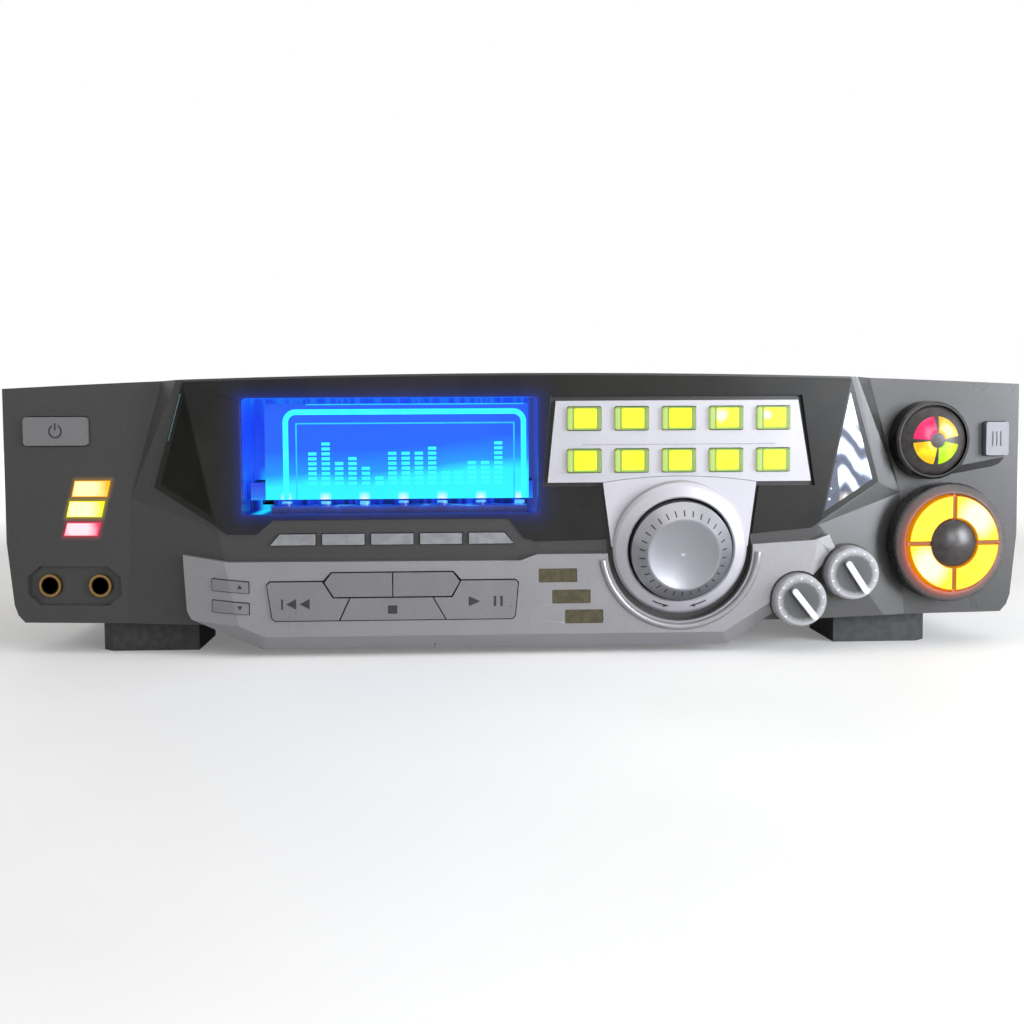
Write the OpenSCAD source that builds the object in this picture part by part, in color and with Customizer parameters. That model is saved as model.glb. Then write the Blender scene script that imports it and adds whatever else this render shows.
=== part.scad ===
// Karaoke machine with a disc tray: a low, wide console with swept wings.
// Every module is drawn with the flat front of the fascia on y = 0, looking along +Y from the front.
// The object's origin is the centre of its footprint on the table, so stand() moves each piece back.

/* [Overall] */
// Width across the two wings
overall_w = 450; // [446:1:454]
// Height at the middle of the arched top
overall_h = 121.6; // [121:0.1:123]
// Height of the wings' lower edge above the table
body_z = 13.8; // [13.6:0.1:14]
// Drop of the arched top from its middle to the wing tips
top_drop = 5.3; // [4.5:0.1:6]
// Rear face of the case, measured from the front of the fascia
rear_y = 320; // [310:1:340]

/* [Fascia] */
// Thickness of the fascia's skin
skin_t = 3.5; // [3.3:0.1:3.8]
// Thickness of the fascia's top, side and bottom walls
wall_t = 2.5; // [2:0.1:3]
// Depth of the fascia moulding
fascia_d = 40; // [38:1:44]
// How far the wings start behind the flat front
wing_set_back = 10; // [9:0.5:11]
// Angle at which the wings sweep back
sweep = 6.45; // [6:0.05:7]
// Thickness of the gloss window cover
cover_t = 3; // [2.8:0.1:3.2]
// How far the window cover stands proud
cover_proud = 1; // [0.8:0.1:1.2]
// How far the silver lower panel stands proud
lower_proud = 4; // [3.8:0.1:4.2]
// How far the key panel stands proud
key_panel_proud = 2.5; // [2.3:0.1:2.7]

/* [Disc tray] */
// Width of the lit bay
bay_w = 127; // [126.6:0.1:127.4]
// Height of the lit bay
bay_h = 50; // [49:0.5:50]
// Depth of the lit bay behind the flat front
bay_d = 34; // [33:0.5:35]
// Width of the disc tray
tray_w = 124; // [123.5:0.1:124]
// Length of the disc tray
tray_l = 165; // [165:0.5:168]
// Thickness of the disc tray
tray_t = 7.5; // [7:0.1:7.5]
// Radius of the well for a 120 mm disc
well_r = 60.6; // [60.4:0.1:60.8]
// Depth of the disc well
well_d = 4.5; // [4.2:0.1:4.8]
// Gear teeth on the loading gear
gear_teeth = 16; // [16:1:16]
// Module of the loading gear and the tray's rack
gear_module = 1; // [1:1:1]

/* [Controls] */
// Outer radius of the ring round the jog dial
ring_r = 29.1; // [28.5:0.1:29.4]
// Radius of the jog dial at its base
jog_r = 21.7; // [21.2:0.1:21.8]
// Downward tilt of the jog dial
jog_tilt = 9; // [7:0.5:10]
// Radius of the small knobs
knob_r = 11.6; // [11:0.1:11.8]
// Width of a lit key
lamp_w = 14.2; // [13.6:0.1:14.4]
// Height of a lit key
lamp_h = 9.8; // [9.4:0.1:10]
// Distance between neighbouring lit keys
lamp_pitch = 20.45; // [20.3:0.05:20.6]
// Gap round a button in its opening
gap = 0.35; // [0.3:0.05:0.4]

/* [Hidden] */

half_w = overall_w / 2;
arch_r = half_w * half_w / (2 * top_drop);
relief_top = overall_h + 2.4;
relief_side = half_w + 5;

// The upright crease between the flat front and the slopes leans outwards towards the top
crease_foot = 118.2;
crease_lean = 0.213;
facet_low_z = 55.2;
facet_tip = [158.6, 7.5, 72.8];
wing_x0 = 154;
wing_crease_top = 153.1;
wing_crease_mid = [169.3, 68.3];
wing_crease_foot = 172.5;

// Lower edges and proud faces, as distances along Y from the flat front
pocket_y = cover_t - cover_proud;
board_y = 12;
board_t = 1.6;
switch_top_y = 9.6;
cap_front = -lower_proud - 1.1;
post_r = 3;
post_at = [[-113, 22], [20, 20], [106, 20], [-107, 55], [20, 56], [106, 56]];
stem_r = 2;
stem_end_y = 8.2;

// Lip at the fascia's back, which closes the step down to the case
lip_t = 2.5;
lip_reach = 3;

// Window cover
win_tip = [157.9, 73.4];
win_top = [143.6, 118.2];
win_low = [130.7, 57];
win_lip = 1;

// Key panel and dial
panel_l = 15;
panel_r = 119.8;
panel_top = 109.5;
panel_low = 74.5;
panel_flare = 3.6;
seam_sag = 2.6;
neck_half = 33.3;
neck_low_half = 29.6;
neck_low_z = 50.5;
dial = [68.5, -2, 45.8];
dial_hole_r = 31.6;
ring_bore_r = 22.9;
rib_r = 34;
rib_t = 1.5;
jog_front = 12.5;
jog_cone = 6.8;
jog_rim_r = 15.6;
dish_r = 14.9;
dish_depth = 2.4;
dish_ball_r = (dish_r * dish_r + dish_depth * dish_depth) / (2 * dish_depth);

// Lit keys
lamp_x0 = 27.2;
lamp_z = [101.9, 83.8];
lamp_front = -4;

// Tone buttons
tone_z = [48.4, 53.1];
tone_x0 = -106.45;
tone_pitch = 20.95;
tone_w = 18;
tone_slant = [1.3, 2.7];

// Stems of the slanted transport group and of the two pitch keys, as X and Z
cancel_at = [-69, 31.5];
memory_at = [-42, 31.5];
rewind_at = [-94, 24.5];
stop_at = [-55.5, 21];
play_at = [-16, 24.5];
pitch_up_at = [-119.4, 31.2];
pitch_down_at = [-119.4, 22];

// Small knobs: place, rear plane and height
knob_low = [120, -0.6, 23.2];
knob_up = [143.2, 1, 34.4];
knob_h = 9.6;
shaft_r = 3;

// Places on the wings, as X and Z of each centre
power_at = [-201.3, 97.7];
power_size = [28.8, 12.4];
lens_at = [[-186.6, 72.7], [-189.2, 63.8], [-190.9, 55]];
lens_size = [[15.6, 6.9], [15.4, 6.8], [14.9, 5.8]];
lens_lean = 1.6;
jack_at = [[-206.4, 30.1], [-184, 30.1]];
jack_hole_r = 3.25;
jack_barrel_r = 4.7;
jack_depth = 28;
recess_depth = 2.4;
big_pod = [189, 46.4];
big_pod_r = 26.3;
big_pod_h = 11.4;
big_pod_shoulder = 8.4;
big_pod_bore_r = 18.6;
seg_r = [11, 20.7];
seg_rib = 1.2;
seg_wall_r = 21.4;
seg_front = 13.2;
seg_stem_r = 15.8;
pad_r = 10.3;
function seg_turn(i) = -90 * i - 45;
small_pod = [181, 91.5];
small_pod_r = 17.5;
small_pod_h = 5.5;
small_rim_h = 3.2;
small_dome_r = 15.1;
small_pod_bore_r = 12;
side_at = [210.6, 92];
side_size = [10.6, 14.8];

// Lit bay and disc tray
bay_x = -119.5;
bay_z = 61.5;
tray_x = bay_x + (bay_w - tray_w) / 2;
tray_z = 67;
tray_front = 16;
tray_mid = tray_x + tray_w / 2;
well_y = tray_front + 4 + well_r;
plate_z = 67.3;
plate_h = 41.7;
plate_t = 4;
slot_r = 17;
rack_x = tray_x + 3;
rack_h = 2.6;
pitch_r = gear_module * gear_teeth / 2;
rack_line = rack_x + 3.6;
gear_x = rack_line + pitch_r;
gear_y = 46;
gear_z = tray_z - rack_h;
gear_post_r = 1.5;
backlash = 0.3;
rack_n = 44;

// Loader and traverse under the tray
loader_y = 38.4;
loader_l = 168;
loader_z = 50;
loader_t = 3;
loader_h = 36;
rail_w = 3.2;
rail_t = 2.5;
bridge_z = 83.6;
hub_z = 65;
spindle_r = 1.2;
rod_dx = 20;
rod_z = 61;
rod_r = 1.5;
pickup_y = 97.5;
pickup_l = 24;
pickup_h = 6.2;
lens_y = 106;
pot_r = 6.8;

// Case
sheet = 1.2;
case_half = 213;
case_top = 115.4;
floor_z = 13.2;
rear_screws = [[-200, 108], [0, 108], [200, 108], [-200, 22], [200, 22]];
side_screw_y = [70, 290];
side_screw_z = 24;
screw_r = 1.45;
rca_r = 4.15;
rca_root_r = 4.5;
rca_len = 9;
rca_x = [60, 78, 96, 130, 148, 166];
rca_z = 78;
inlet_at = [-165, 70];
inlet_size = [21.6, 13.6];
inlet_depth = 12;
board_z = 22;

// Depth of the whole object, from the dial's rim to the ends of the sockets
jog_reach = -dial.y + jog_front * cos(jog_tilt) + jog_rim_r * sin(jog_tilt);
rear_end = rear_y + rca_len;
origin_y = (rear_end - jog_reach) / 2;

$fn = 64;

function crease_x(z) = crease_foot + crease_lean * z;
function wing_y(x) = wing_set_back + (x - wing_x0) * tan(sweep);
function top_z(x) = overall_h - x * x / (2 * arch_r);
function mirrored(p) = [for (q = p) [-q.x, q.y, q.z]];
function flipped(p) = [for (i = [len(p) - 1:-1:0]) [-p[i].x, p[i].y]];

// Corner points of the right half of the front surface
relief_right = [
  [crease_x(relief_top), 0, relief_top],
  [crease_x(facet_low_z), 0, facet_low_z],
  [crease_x(0), 0, 0],
  facet_tip,
  [wing_crease_top, wing_y(wing_crease_top), relief_top],
  [wing_crease_mid.x, wing_y(wing_crease_mid.x), wing_crease_mid.y],
  [wing_crease_foot, wing_y(wing_crease_foot), 0],
  [relief_side, wing_y(relief_side), relief_top],
  [relief_side, wing_y(relief_side), 0]];
relief_points = concat(relief_right, mirrored(relief_right));
relief_n = len(relief_points);

// Faces of the right half, then of the left half, then the flat middle
right_faces = [[0, 3, 1], [0, 4, 5], [0, 5, 3], [1, 3, 5], [1, 5, 6], [1, 6, 2],
  [5, 4, 7], [5, 7, 8], [5, 8, 6]];
left_faces = [for (f = right_faces) [for (i = [len(f) - 1:-1:0]) f[i] + 9]];
front_faces = concat(right_faces, left_faces, [[9, 0, 1, 10], [10, 1, 2, 11]]);
top_chain = [16, 13, 9, 0, 4, 7];
low_chain = [17, 15, 11, 2, 6, 8];
function to_back(chain) = [for (i = chain) i + relief_n];
function reversed(chain) = [for (i = [len(chain) - 1:-1:0]) chain[i]];
function strip(chain) = [for (i = [0:len(chain) - 2])
  [chain[i] + relief_n, chain[i + 1] + relief_n, chain[i + 1], chain[i]]];
relief_faces = concat(
  front_faces,
  [for (f = front_faces) reversed(to_back(f))],
  strip(top_chain),
  strip(reversed(low_chain)),
  strip([7, 8]),
  strip([17, 16]));

// Solid from the front surface moved by a, back to a flat plane at y = b
module relief_block(a, b) {
  front = [for (p = relief_points) [p.x, p.y + a, p.z]];
  back = [for (p = relief_points) [p.x, b, p.z]];
  polyhedron(points = concat(front, back), faces = relief_faces);
}

// Skin between the front surface moved by a and the same surface moved by b
module skin(a, b) {
  front = [for (p = relief_points) [p.x, p.y + a, p.z]];
  back = [for (p = relief_points) [p.x, p.y + b, p.z]];
  polyhedron(points = concat(front, back), faces = relief_faces);
}

// Drawing in X and Z, made solid from y = a to y = b
module slab(a, b) {
  translate([0, b, 0]) rotate([90, 0, 0]) linear_extrude(b - a) children();
}

// Frame on a wing at [x, z]: local X along the wing, local -Y out of it
module on_wing(at) {
  side = sign(at.x);
  translate([at.x, wing_y(abs(at.x)), at.y]) rotate([0, 0, side * sweep]) children();
}

// Round bar along Y from y = a to y = b
module bar(r, a, b) {
  translate([0, b, 0]) rotate([90, 0, 0]) cylinder(r = r, h = b - a);
}

// Frame of the dial: local +Z points out of its face
module on_dial() {
  translate(dial) rotate([90 + jog_tilt, 0, 0]) children();
}

module rounded(w, h, r) {
  square([w - 2 * r, h], center = true);
  square([w, h - 2 * r], center = true);
  for (x = [-1, 1], z = [-1, 1]) translate([x * (w / 2 - r), z * (h / 2 - r)]) circle(r);
}

// Stem that reaches from a cap's back to just short of its switch
module stem(at, from_y) {
  translate([at.x, 0, at.y]) bar(stem_r, from_y, stem_end_y);
}

function fascia_side(inset) = [
  [half_w - inset, 49],
  [half_w - inset - 2.8, 21.5],
  [half_w - inset - 4.4, 17],
  [half_w - inset - 7.4, body_z + inset]];
function fascia_top(inset, n = 16) = [for (i = [0:n])
  let(x = (half_w - inset) * (2 * i / n - 1)) [x, top_z(x) - inset]];
function fascia_outline(inset) =
  concat(fascia_top(inset), fascia_side(inset), flipped(fascia_side(inset)));

function window_low() = [
  [win_tip.x, win_tip.y], [win_low.x, win_low.y], [126.5, 54], [98.5, 51.5], [39, 49.8],
  [6.8, 49.2], [1.2, 50.7], [-5, 59.2], [-106.5, 59.2], [-113.4, 53.2], [-125.7, 53.2],
  [-win_low.x, win_low.y], [-win_tip.x, win_tip.y]];
function window_arch(n = 12) = [for (i = [0:n])
  let(x = win_top.x * (2 * i / n - 1)) [x, top_z(x) - win_lip]];
module window_shape() polygon(concat(window_arch(), window_low()));

module bay_shape() {
  translate([bay_x + bay_w / 2, bay_z + bay_h / 2]) rounded(bay_w, bay_h, 2);
}

module bar_shape(grow) {
  polygon([
    [panel_l - grow, panel_top + grow], [panel_r + grow, panel_top + grow],
    [panel_r + panel_flare + 2.2 + grow, panel_low - grow],
    [panel_l - panel_flare - grow, panel_low - grow]]);
}

module neck_shape(grow, top = panel_low + 4) {
  polygon([
    [dial.x - neck_half - grow, top], [dial.x + neck_half + grow, top],
    [dial.x + neck_half + grow, panel_low - grow],
    [dial.x + neck_low_half + grow, neck_low_z - 4], [dial.x - neck_low_half - grow, neck_low_z - 4],
    [dial.x - neck_half - grow, panel_low - grow]]);
}

// Large circle whose top is the seam between the key panel and the dial's neck
seam_r = (neck_half * neck_half + seam_sag * seam_sag) / (2 * seam_sag);
module seam_circle(shrink) {
  translate([dial.x, panel_low + seam_sag - seam_r]) circle(r = seam_r - shrink, $fn = 360);
}

function lamp_at(i) = [lamp_x0 + (i % 5) * lamp_pitch, lamp_z[floor(i / 5)]];
module lamp_shape(i, grow) {
  translate(lamp_at(i)) rounded(lamp_w + 2 * grow, lamp_h + 2 * grow, 0.8);
}

// Tone buttons: the first and the last have a slanted outer end
function tone_at(i) = [tone_x0 + i * tone_pitch + tone_w / 2, (tone_z[0] + tone_z[1]) / 2];
module tone_shape(i, grow) {
  low = tone_z[0] - grow;
  high = tone_z[1] + grow;
  left = tone_x0 + i * tone_pitch - grow;
  right = left + tone_w + 2 * grow;
  slant_l = i == 0 ? tone_slant : [0, 0];
  slant_r = i == 4 ? tone_slant : [0, 0];
  polygon([
    [left - slant_l[0], low], [left + slant_l[1], high],
    [right - slant_r[1], high], [right + slant_r[0], low]]);
}

// Slanted transport group
group_z = [16.4, 25.8, 32.9, 36.6];
module rewind_shape() polygon([
  [-108.9, 31.7], [-107.7, group_z[2]], [-85.5, group_z[2]], [-81.1, group_z[1]],
  [-74.1, group_z[1]], [-78.5, group_z[0]], [-105.6, group_z[0]], [-106.9, 17.6]]);
module stop_shape() polygon([
  [-73.5, group_z[1]], [-38.5, group_z[1]], [-33.1, group_z[0]], [-77.9, group_z[0]]]);
module play_shape() polygon([
  [-26.1, group_z[2]], [-2.9, group_z[2]], [-1.8, 31.7], [-3.1, 17.6], [-4.3, group_z[0]],
  [-32.5, group_z[0]], [-37.9, group_z[1]], [-29.9, group_z[1]]]);
module cancel_shape() polygon([
  [-81.4, group_z[3]], [-55.7, group_z[3]], [-55.7, 26.4], [-80.6, 26.4], [-84.5, 32.6]]);
module memory_shape() polygon([
  [-55.2, 26.4], [-55.2, group_z[3]], [-29.8, group_z[3]], [-26.8, 32.6], [-30.4, 26.4]]);
module group_hole() polygon([
  [-109.4, 31.9], [-107.9, 33.4], [-85, 33.4], [-81.8, 37.1], [-29.4, 37.1], [-26.2, 33.4],
  [-2.7, 33.4], [-1.3, 31.9], [-2.7, 17.3], [-4, 15.9], [-105.8, 15.9], [-107.4, 17.3]]);

module pitch_shape(up, grow) {
  drop = up ? 0 : 9.2;
  polygon([
    [-132.4 - grow, 34.6 - drop + grow], [-116.8 + grow, 33.1 - drop + grow],
    [-116.8 + grow, 28.4 - drop - grow], [-132.4 - grow, 29.7 - drop - grow]]);
}

legend_at = [[15.5, 34.6], [21.3, 25.4], [26.8, 16.7]];
legend_size = [16.6, 6];
module legend_shape(i) translate(legend_at[i]) rounded(legend_size.x, legend_size.y, 0.6);

// Silver panel below the window
lower_edge = [[-142.2, 16.8], [-111.5, 3.3], [89.4, 3.3], [108.9, 15.6]];
module lower_shape() polygon(concat(
  [[-125.1, 41.6], [-0.6, 41.2], [6.5, 43.8], [38, 43.8], [98, 47.2], [126.7, 48.8],
   [133.7, 51], [137.1, 44.4]],
  reversed(lower_edge), [[-144, 20.4], [-145.2, 44.6]]));

// Wedge that bevels the lower front edge from p to q
module edge_bevel(p, q, front) {
  run = q - p;
  angle = atan2(run.y, run.x);
  translate([p.x, 0, p.y]) rotate([0, -angle, 0]) translate([-8, 0, 0]) rotate([90, 0, 90])
    linear_extrude(norm(run) + 16) polygon([[front - 4, -4], [front + 5, -1], [front - 1, 7.4],
      [front - 4, 7.4]]);
}

module lens_shape(i, grow) {
  w = lens_size[i].x / 2 + grow;
  h = lens_size[i].y / 2 + grow;
  lean = lens_lean / 2;
  polygon([[-w + lean, h], [w + lean, h], [w - lean, -h], [-w - lean, -h]]);
}

module recess_shape() polygon([
  [-15.5, 8.6], [15.5, 8.6], [21, 3.8], [21, -4], [15.5, -8.6], [-15.5, -8.6], [-21, -4], [-21, 3.8]]);

// Sector of the large pod, a quarter less the ribs
module segment_shape(i, grow) {
  intersection() {
    difference() {
      circle(seg_r[1] + grow);
      circle(seg_r[0] - grow);
    }
    rotate([0, 0, 90 * i]) translate([1, 1] * (seg_rib / 2 + gap - grow)) square(40);
  }
}

// Tail of the small pod, from its drum to past the side button
tail = [[1.5, 16.9], [35.2, 12.2], [37, 10.2], [34.5, -10.6], [31.6, -12], [3.5, -16.7]];
module tail_shape() polygon(tail);

// Wedge that bevels the tail's lower edge from p to q, back to the wing
module tail_bevel(p, q) {
  run = q - p;
  translate([p.x, 0, p.y]) rotate([0, -atan2(run.y, run.x), 0]) translate([-8, 0, 0])
    rotate([90, 0, 90]) linear_extrude(norm(run) + 16) polygon([[-0.8, -4], [-0.8, 0],
      [-small_pod_h - 1, 4.5], [-small_pod_h - 1, -4]]);
}

// Involute tooth: half width at radius r, thinned for backlash
base_r = pitch_r * cos(20);
function inv(deg) = tan(deg) - deg * PI / 180;
function tooth_half(r) =
  r * sin((PI / (2 * gear_teeth) + inv(20) - (r > base_r ? inv(acos(base_r / r)) : 0)) * 180 / PI)
  - backlash / 2;
tooth_r = [pitch_r - 1.3, base_r, pitch_r, pitch_r + 0.9];

// Rack tooth: half width at height h above the pitch line
rack_root = 1.5;
rack_tip = 0.85;
function rack_half(h) = PI * gear_module / 4 - backlash / 2 - h * tan(20);

module front_fascia() color("#4a4a4e") {
  difference() {
    union() {
      intersection() {
        slab(-1, fascia_d) polygon(fascia_outline(0));
        relief_block(0, fascia_d + 5);
      }
      translate([knob_up.x, 0, knob_up.z]) bar(12.4, knob_up.y + 0.6, 10);
    }
    difference() {
      intersection() {
        slab(-1, fascia_d - lip_t) polygon(fascia_outline(wall_t));
        relief_block(skin_t, fascia_d + 1);
      }
      for (at = post_at) translate([at.x, 0, at.y]) bar(post_r, skin_t, board_y);
    }
    translate([-case_half + lip_reach, fascia_d - 10, body_z + wall_t])
      cube([2 * (case_half - lip_reach), 20, case_top - 5 - body_z - wall_t]);
    intersection() {
      slab(-1, 30) window_shape();
      skin(-2, pocket_y);
    }
    slab(-1, 10) bay_shape();
    for (i = [0:9]) slab(-1, 6) lamp_shape(i, gap);
    for (i = [0:4]) slab(-1, 6) tone_shape(i, gap);
    translate([dial.x, 0, dial.z]) bar(dial_hole_r, -1, pocket_y);
    on_dial() translate([0, 0, -12]) cylinder(r = ring_bore_r + 0.4, h = 12);
    slab(-1, 6) group_hole();
    slab(-1, 8) pitch_shape(true, gap);
    slab(-1, 8) pitch_shape(false, gap);
    translate([knob_low.x, 0, knob_low.z]) bar(4, -1, 14);
    translate([knob_up.x, 0, knob_up.z]) bar(4, -1, 14);
    on_wing(power_at) slab(-2, 8) rounded(power_size.x + 2 * gap, power_size.y + 2 * gap, 2);
    for (i = [0:2]) on_wing(lens_at[i]) slab(-2, 8) lens_shape(i, 0);
    on_wing((jack_at[0] + jack_at[1]) / 2) slab(-4, recess_depth) recess_shape();
    for (p = jack_at) on_wing(p) bar(jack_barrel_r + 0.1, -1, 8);
    on_wing(big_pod) bar(big_pod_bore_r, -1, 8);
    on_wing(small_pod) bar(small_pod_bore_r, -1, 8);
    on_wing(side_at) bar(3, -1, 8);
  }
}

module window_cover() color("#141418") {
  difference() {
    intersection() {
      slab(-4, 30) window_shape();
      skin(-cover_proud, pocket_y);
    }
    slab(-4, 6) bay_shape();
    slab(-4, 6) bar_shape(2);
    slab(-4, 6) neck_shape(1.5);
    translate([dial.x, 0, dial.z]) bar(ring_r + 1.4, -4, 6);
  }
}

module key_panel() color("#e6e6ee") {
  slab(-key_panel_proud, pocket_y) difference() {
    bar_shape(0);
    seam_circle(0);
    for (i = [0:9]) lamp_shape(i, gap);
  }
}

module dial_flange() color("#c9c9cf") {
  difference() {
    union() {
      slab(-key_panel_proud, pocket_y) intersection() {
        neck_shape(0);
        seam_circle(0.2);
      }
      intersection() {
        on_dial() rotate_extrude($fn = 128) polygon([
          [10, -12], [ring_r, -12], [ring_r, 1], [ring_r - 1.2, 2.2], [ring_bore_r + 0.7, 4],
          [ring_bore_r, 3.4], [10, 3.4]]);
        slab(-20, pocket_y) square(300, center = true);
      }
    }
    on_dial() translate([0, 0, -14]) cylinder(r = ring_bore_r, h = 30);
  }
}

module lower_panel() color("#c4c4ca") {
  difference() {
    union() {
      intersection() {
        slab(-8, 30) lower_shape();
        skin(-lower_proud, 0);
      }
      intersection() {
        slab(-8, 30) lower_shape();
        skin(-lower_proud, 5);
        translate([0, 10, 0]) cube([400, 60, 2 * body_z], center = true);
      }
      translate([dial.x, -lower_proud, dial.z]) rotate([90, 0, 0]) rotate([0, 0, 188])
        rotate_extrude(angle = 169, $fn = 96) translate([rib_r, 0]) circle(rib_t, $fn = 24);
    }
    slab(-8, 6) translate([dial.x, dial.z]) circle(dial_hole_r);
    slab(-8, 6) translate([knob_low.x, knob_low.z]) circle(knob_r + 0.7);
    slab(-8, 12) translate([knob_up.x, knob_up.z]) circle(knob_r + 1.2);
    slab(-8, 6) group_hole();
    slab(-8, 8) pitch_shape(true, gap);
    slab(-8, 8) pitch_shape(false, gap);
    for (i = [0:2]) slab(-8, -lower_proud + 2) legend_shape(i);
    edge_bevel(lower_edge[0], lower_edge[1], -lower_proud);
    edge_bevel(lower_edge[1], lower_edge[2], -lower_proud);
    edge_bevel(lower_edge[2], lower_edge[3], -lower_proud);
  }
}

module legend_windows() color("#6f6b3a") {
  for (i = [0:2]) slab(-lower_proud + 0.3, -lower_proud + 2) legend_shape(i);
}

module indicator_lenses() color("#ffc040") {
  for (i = [0:2]) on_wing(lens_at[i]) slab(-0.7, 3) lens_shape(i, 0);
}

module mic_jacks() color("#c9a24a") {
  for (p = jack_at) on_wing(p) difference() {
    union() {
      bar(5.1, recess_depth - 1.8, recess_depth);
      bar(jack_barrel_r, recess_depth, recess_depth + jack_depth + 3);
    }
    bar(jack_hole_r, 0, recess_depth - 1.8 + jack_depth);
  }
}

module power_button() color("#b4b4b8") {
  on_wing(power_at) {
    slab(-1.7, 4.2) rounded(power_size.x, power_size.y, 1.7);
    bar(stem_r, 4.2, 10);
  }
}

module large_pod_housing() color("#37373b") {
  difference() {
    on_wing(big_pod) {
      rotate([90, 0, 0]) rotate_extrude($fn = 128) polygon([
        [seg_wall_r, 0], [big_pod_r, 0], [big_pod_r, big_pod_shoulder],
        [big_pod_r - 0.7, big_pod_shoulder + 1.1], [seg_wall_r + 1.2, big_pod_h],
        [seg_wall_r + 0.5, big_pod_h], [seg_wall_r, big_pod_h - 0.6]]);
      difference() {
        bar(seg_wall_r, -1.5, 0);
        bar(stem_r + 0.4, -3, 1);
        for (i = [0:3]) rotate([0, seg_turn(i), 0]) translate([seg_stem_r, 0, 0]) bar(stem_r + 0.4, -3, 1);
      }
      difference() {
        for (i = [0:1]) rotate([0, 90 * i, 0]) translate([-seg_wall_r - 0.2, -big_pod_h - 1, -seg_rib / 2])
          cube([2 * seg_wall_r + 0.4, big_pod_h, seg_rib]);
        bar(seg_r[0], -seg_front, 1);
      }
    }
    relief_block(-0.02, 50);
  }
}

module pad_segment(i) color("#ffe23a") {
  on_wing(big_pod) {
    slab(-seg_front, -7) segment_shape(i, 0);
    rotate([0, seg_turn(i), 0]) translate([seg_stem_r, 0, 0]) bar(stem_r, -7, 6);
  }
}

module pad_centre() color("#3a3436") {
  on_wing(big_pod) rotate([90, 0, 0]) {
    translate([0, 0, 7]) cylinder(r = pad_r, h = 5.4);
    intersection() {
      translate([0, 0, 15.6 - 18.2]) sphere(18.2);
      translate([0, 0, 12.4]) cylinder(r = pad_r, h = 6);
    }
    translate([0, 0, -6]) cylinder(r = stem_r, h = 13);
  }
}

module small_pod_housing() color("#5a5a60") {
  rim_top = small_pod_h + small_rim_h;
  difference() {
    on_wing(small_pod) {
      difference() {
        slab(-small_pod_h, 0) tail_shape();
        tail_bevel(tail[5], tail[4]);
      }
      rotate([90, 0, 0]) rotate_extrude($fn = 96) polygon([
        [0, 0], [small_pod_r, 0], [small_pod_r - 0.4, rim_top - 1], [small_pod_r - 1.2, rim_top],
        [0, rim_top]]);
    }
    on_wing(small_pod) bar(stem_r + 0.4, -12, 1);
    on_wing(small_pod) bar(small_dome_r + 0.4, -12, -small_pod_h + 2.4);
    on_wing(side_at) slab(-12, -small_pod_h + 3.9)
      rounded(side_size.x + 2 * gap, side_size.y + 2 * gap, 1.2);
    on_wing(side_at) bar(stem_r + 0.4, -12, 1);
  }
}

module small_pad_dome() color("#40363a") {
  on_wing(small_pod) rotate([90, 0, 0]) {
    translate([0, 0, 4.6]) cylinder(r = small_dome_r, h = 3);
    intersection() {
      translate([0, 0, 12.4 - 26.3]) sphere(26.3, $fn = 96);
      translate([0, 0, 7.6]) cylinder(r = small_dome_r, h = 6);
    }
    translate([0, 0, -7]) cylinder(r = stem_r, h = 11.6);
  }
}

module side_button() color("#8c8c92") {
  on_wing(side_at) {
    slab(-8.6, -2.9) rounded(side_size.x, side_size.y, 1);
    for (i = [-1:1]) slab(-9, -8) translate([1.9 * i, 0]) square([0.7, 6.4], center = true);
    bar(stem_r, -2.9, 6);
  }
}

module tone_button(i) color("#b9b9be") {
  slab(-1.3, 4.2) tone_shape(i, 0);
  stem(tone_at(i), 4.2);
}

module cancel_button() color("#a9a9ae") {
  slab(cap_front, 1) cancel_shape();
  stem(cancel_at, 1);
}
module memory_button() color("#a9a9ae") {
  slab(cap_front, 1) memory_shape();
  stem(memory_at, 1);
}
module rewind_button() color("#c8c8cd") {
  slab(cap_front, 1) rewind_shape();
  stem(rewind_at, 1);
}
module stop_button() color("#c8c8cd") {
  slab(cap_front, 1) stop_shape();
  stem(stop_at, 1);
}
module play_button() color("#c8c8cd") {
  slab(cap_front, 1) play_shape();
  stem(play_at, 1);
}

module pitch_button(up) color("#b4b4b9") {
  intersection() {
    slab(-8, 12) pitch_shape(up, 0);
    skin(-lower_proud - 0.9, 2);
  }
  stem(up ? pitch_up_at : pitch_down_at, 1);
}

module lamp_key(i) color("#f0f04a") {
  slab(lamp_front, 2.6) lamp_shape(i, 0);
  stem(lamp_at(i), 2.6);
}

module jog_dial() color("#c6c8cf") {
  on_dial() {
    difference() {
      rotate_extrude($fn = 128) polygon([
        [0, -3], [jog_r, -3], [jog_r, jog_cone - 0.6], [jog_r - 0.6, jog_cone],
        [jog_rim_r + 0.5, jog_front - 0.5], [jog_rim_r, jog_front], [0, jog_front]]);
      translate([0, 0, jog_front - dish_depth + dish_ball_r]) sphere(dish_ball_r, $fn = 128);
    }
    translate([0, 0, -20]) cylinder(r = shaft_r, h = 17);
  }
}

// Small knob with a raised pointer bar; clock is the bar's angle from the top, clockwise
module knob(at, clock) color("#c9c9ce") {
  translate(at) {
    rotate([90, 0, 0]) rotate_extrude($fn = 96) polygon([
      [0, 0], [knob_r, 0], [knob_r, 3], [knob_r - 0.5, knob_h - 1], [knob_r - 1.3, knob_h], [0, knob_h]]);
    rotate([0, clock, 0]) slab(-knob_h - 3, -knob_h + 1) translate([0, 1.6]) rounded(2.6, 16.4, 1.2);
    bar(shaft_r, -1, 18 - at.y);
  }
}
module knob_lower() knob(knob_low, 142);
module knob_upper() knob(knob_up, 147);

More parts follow.
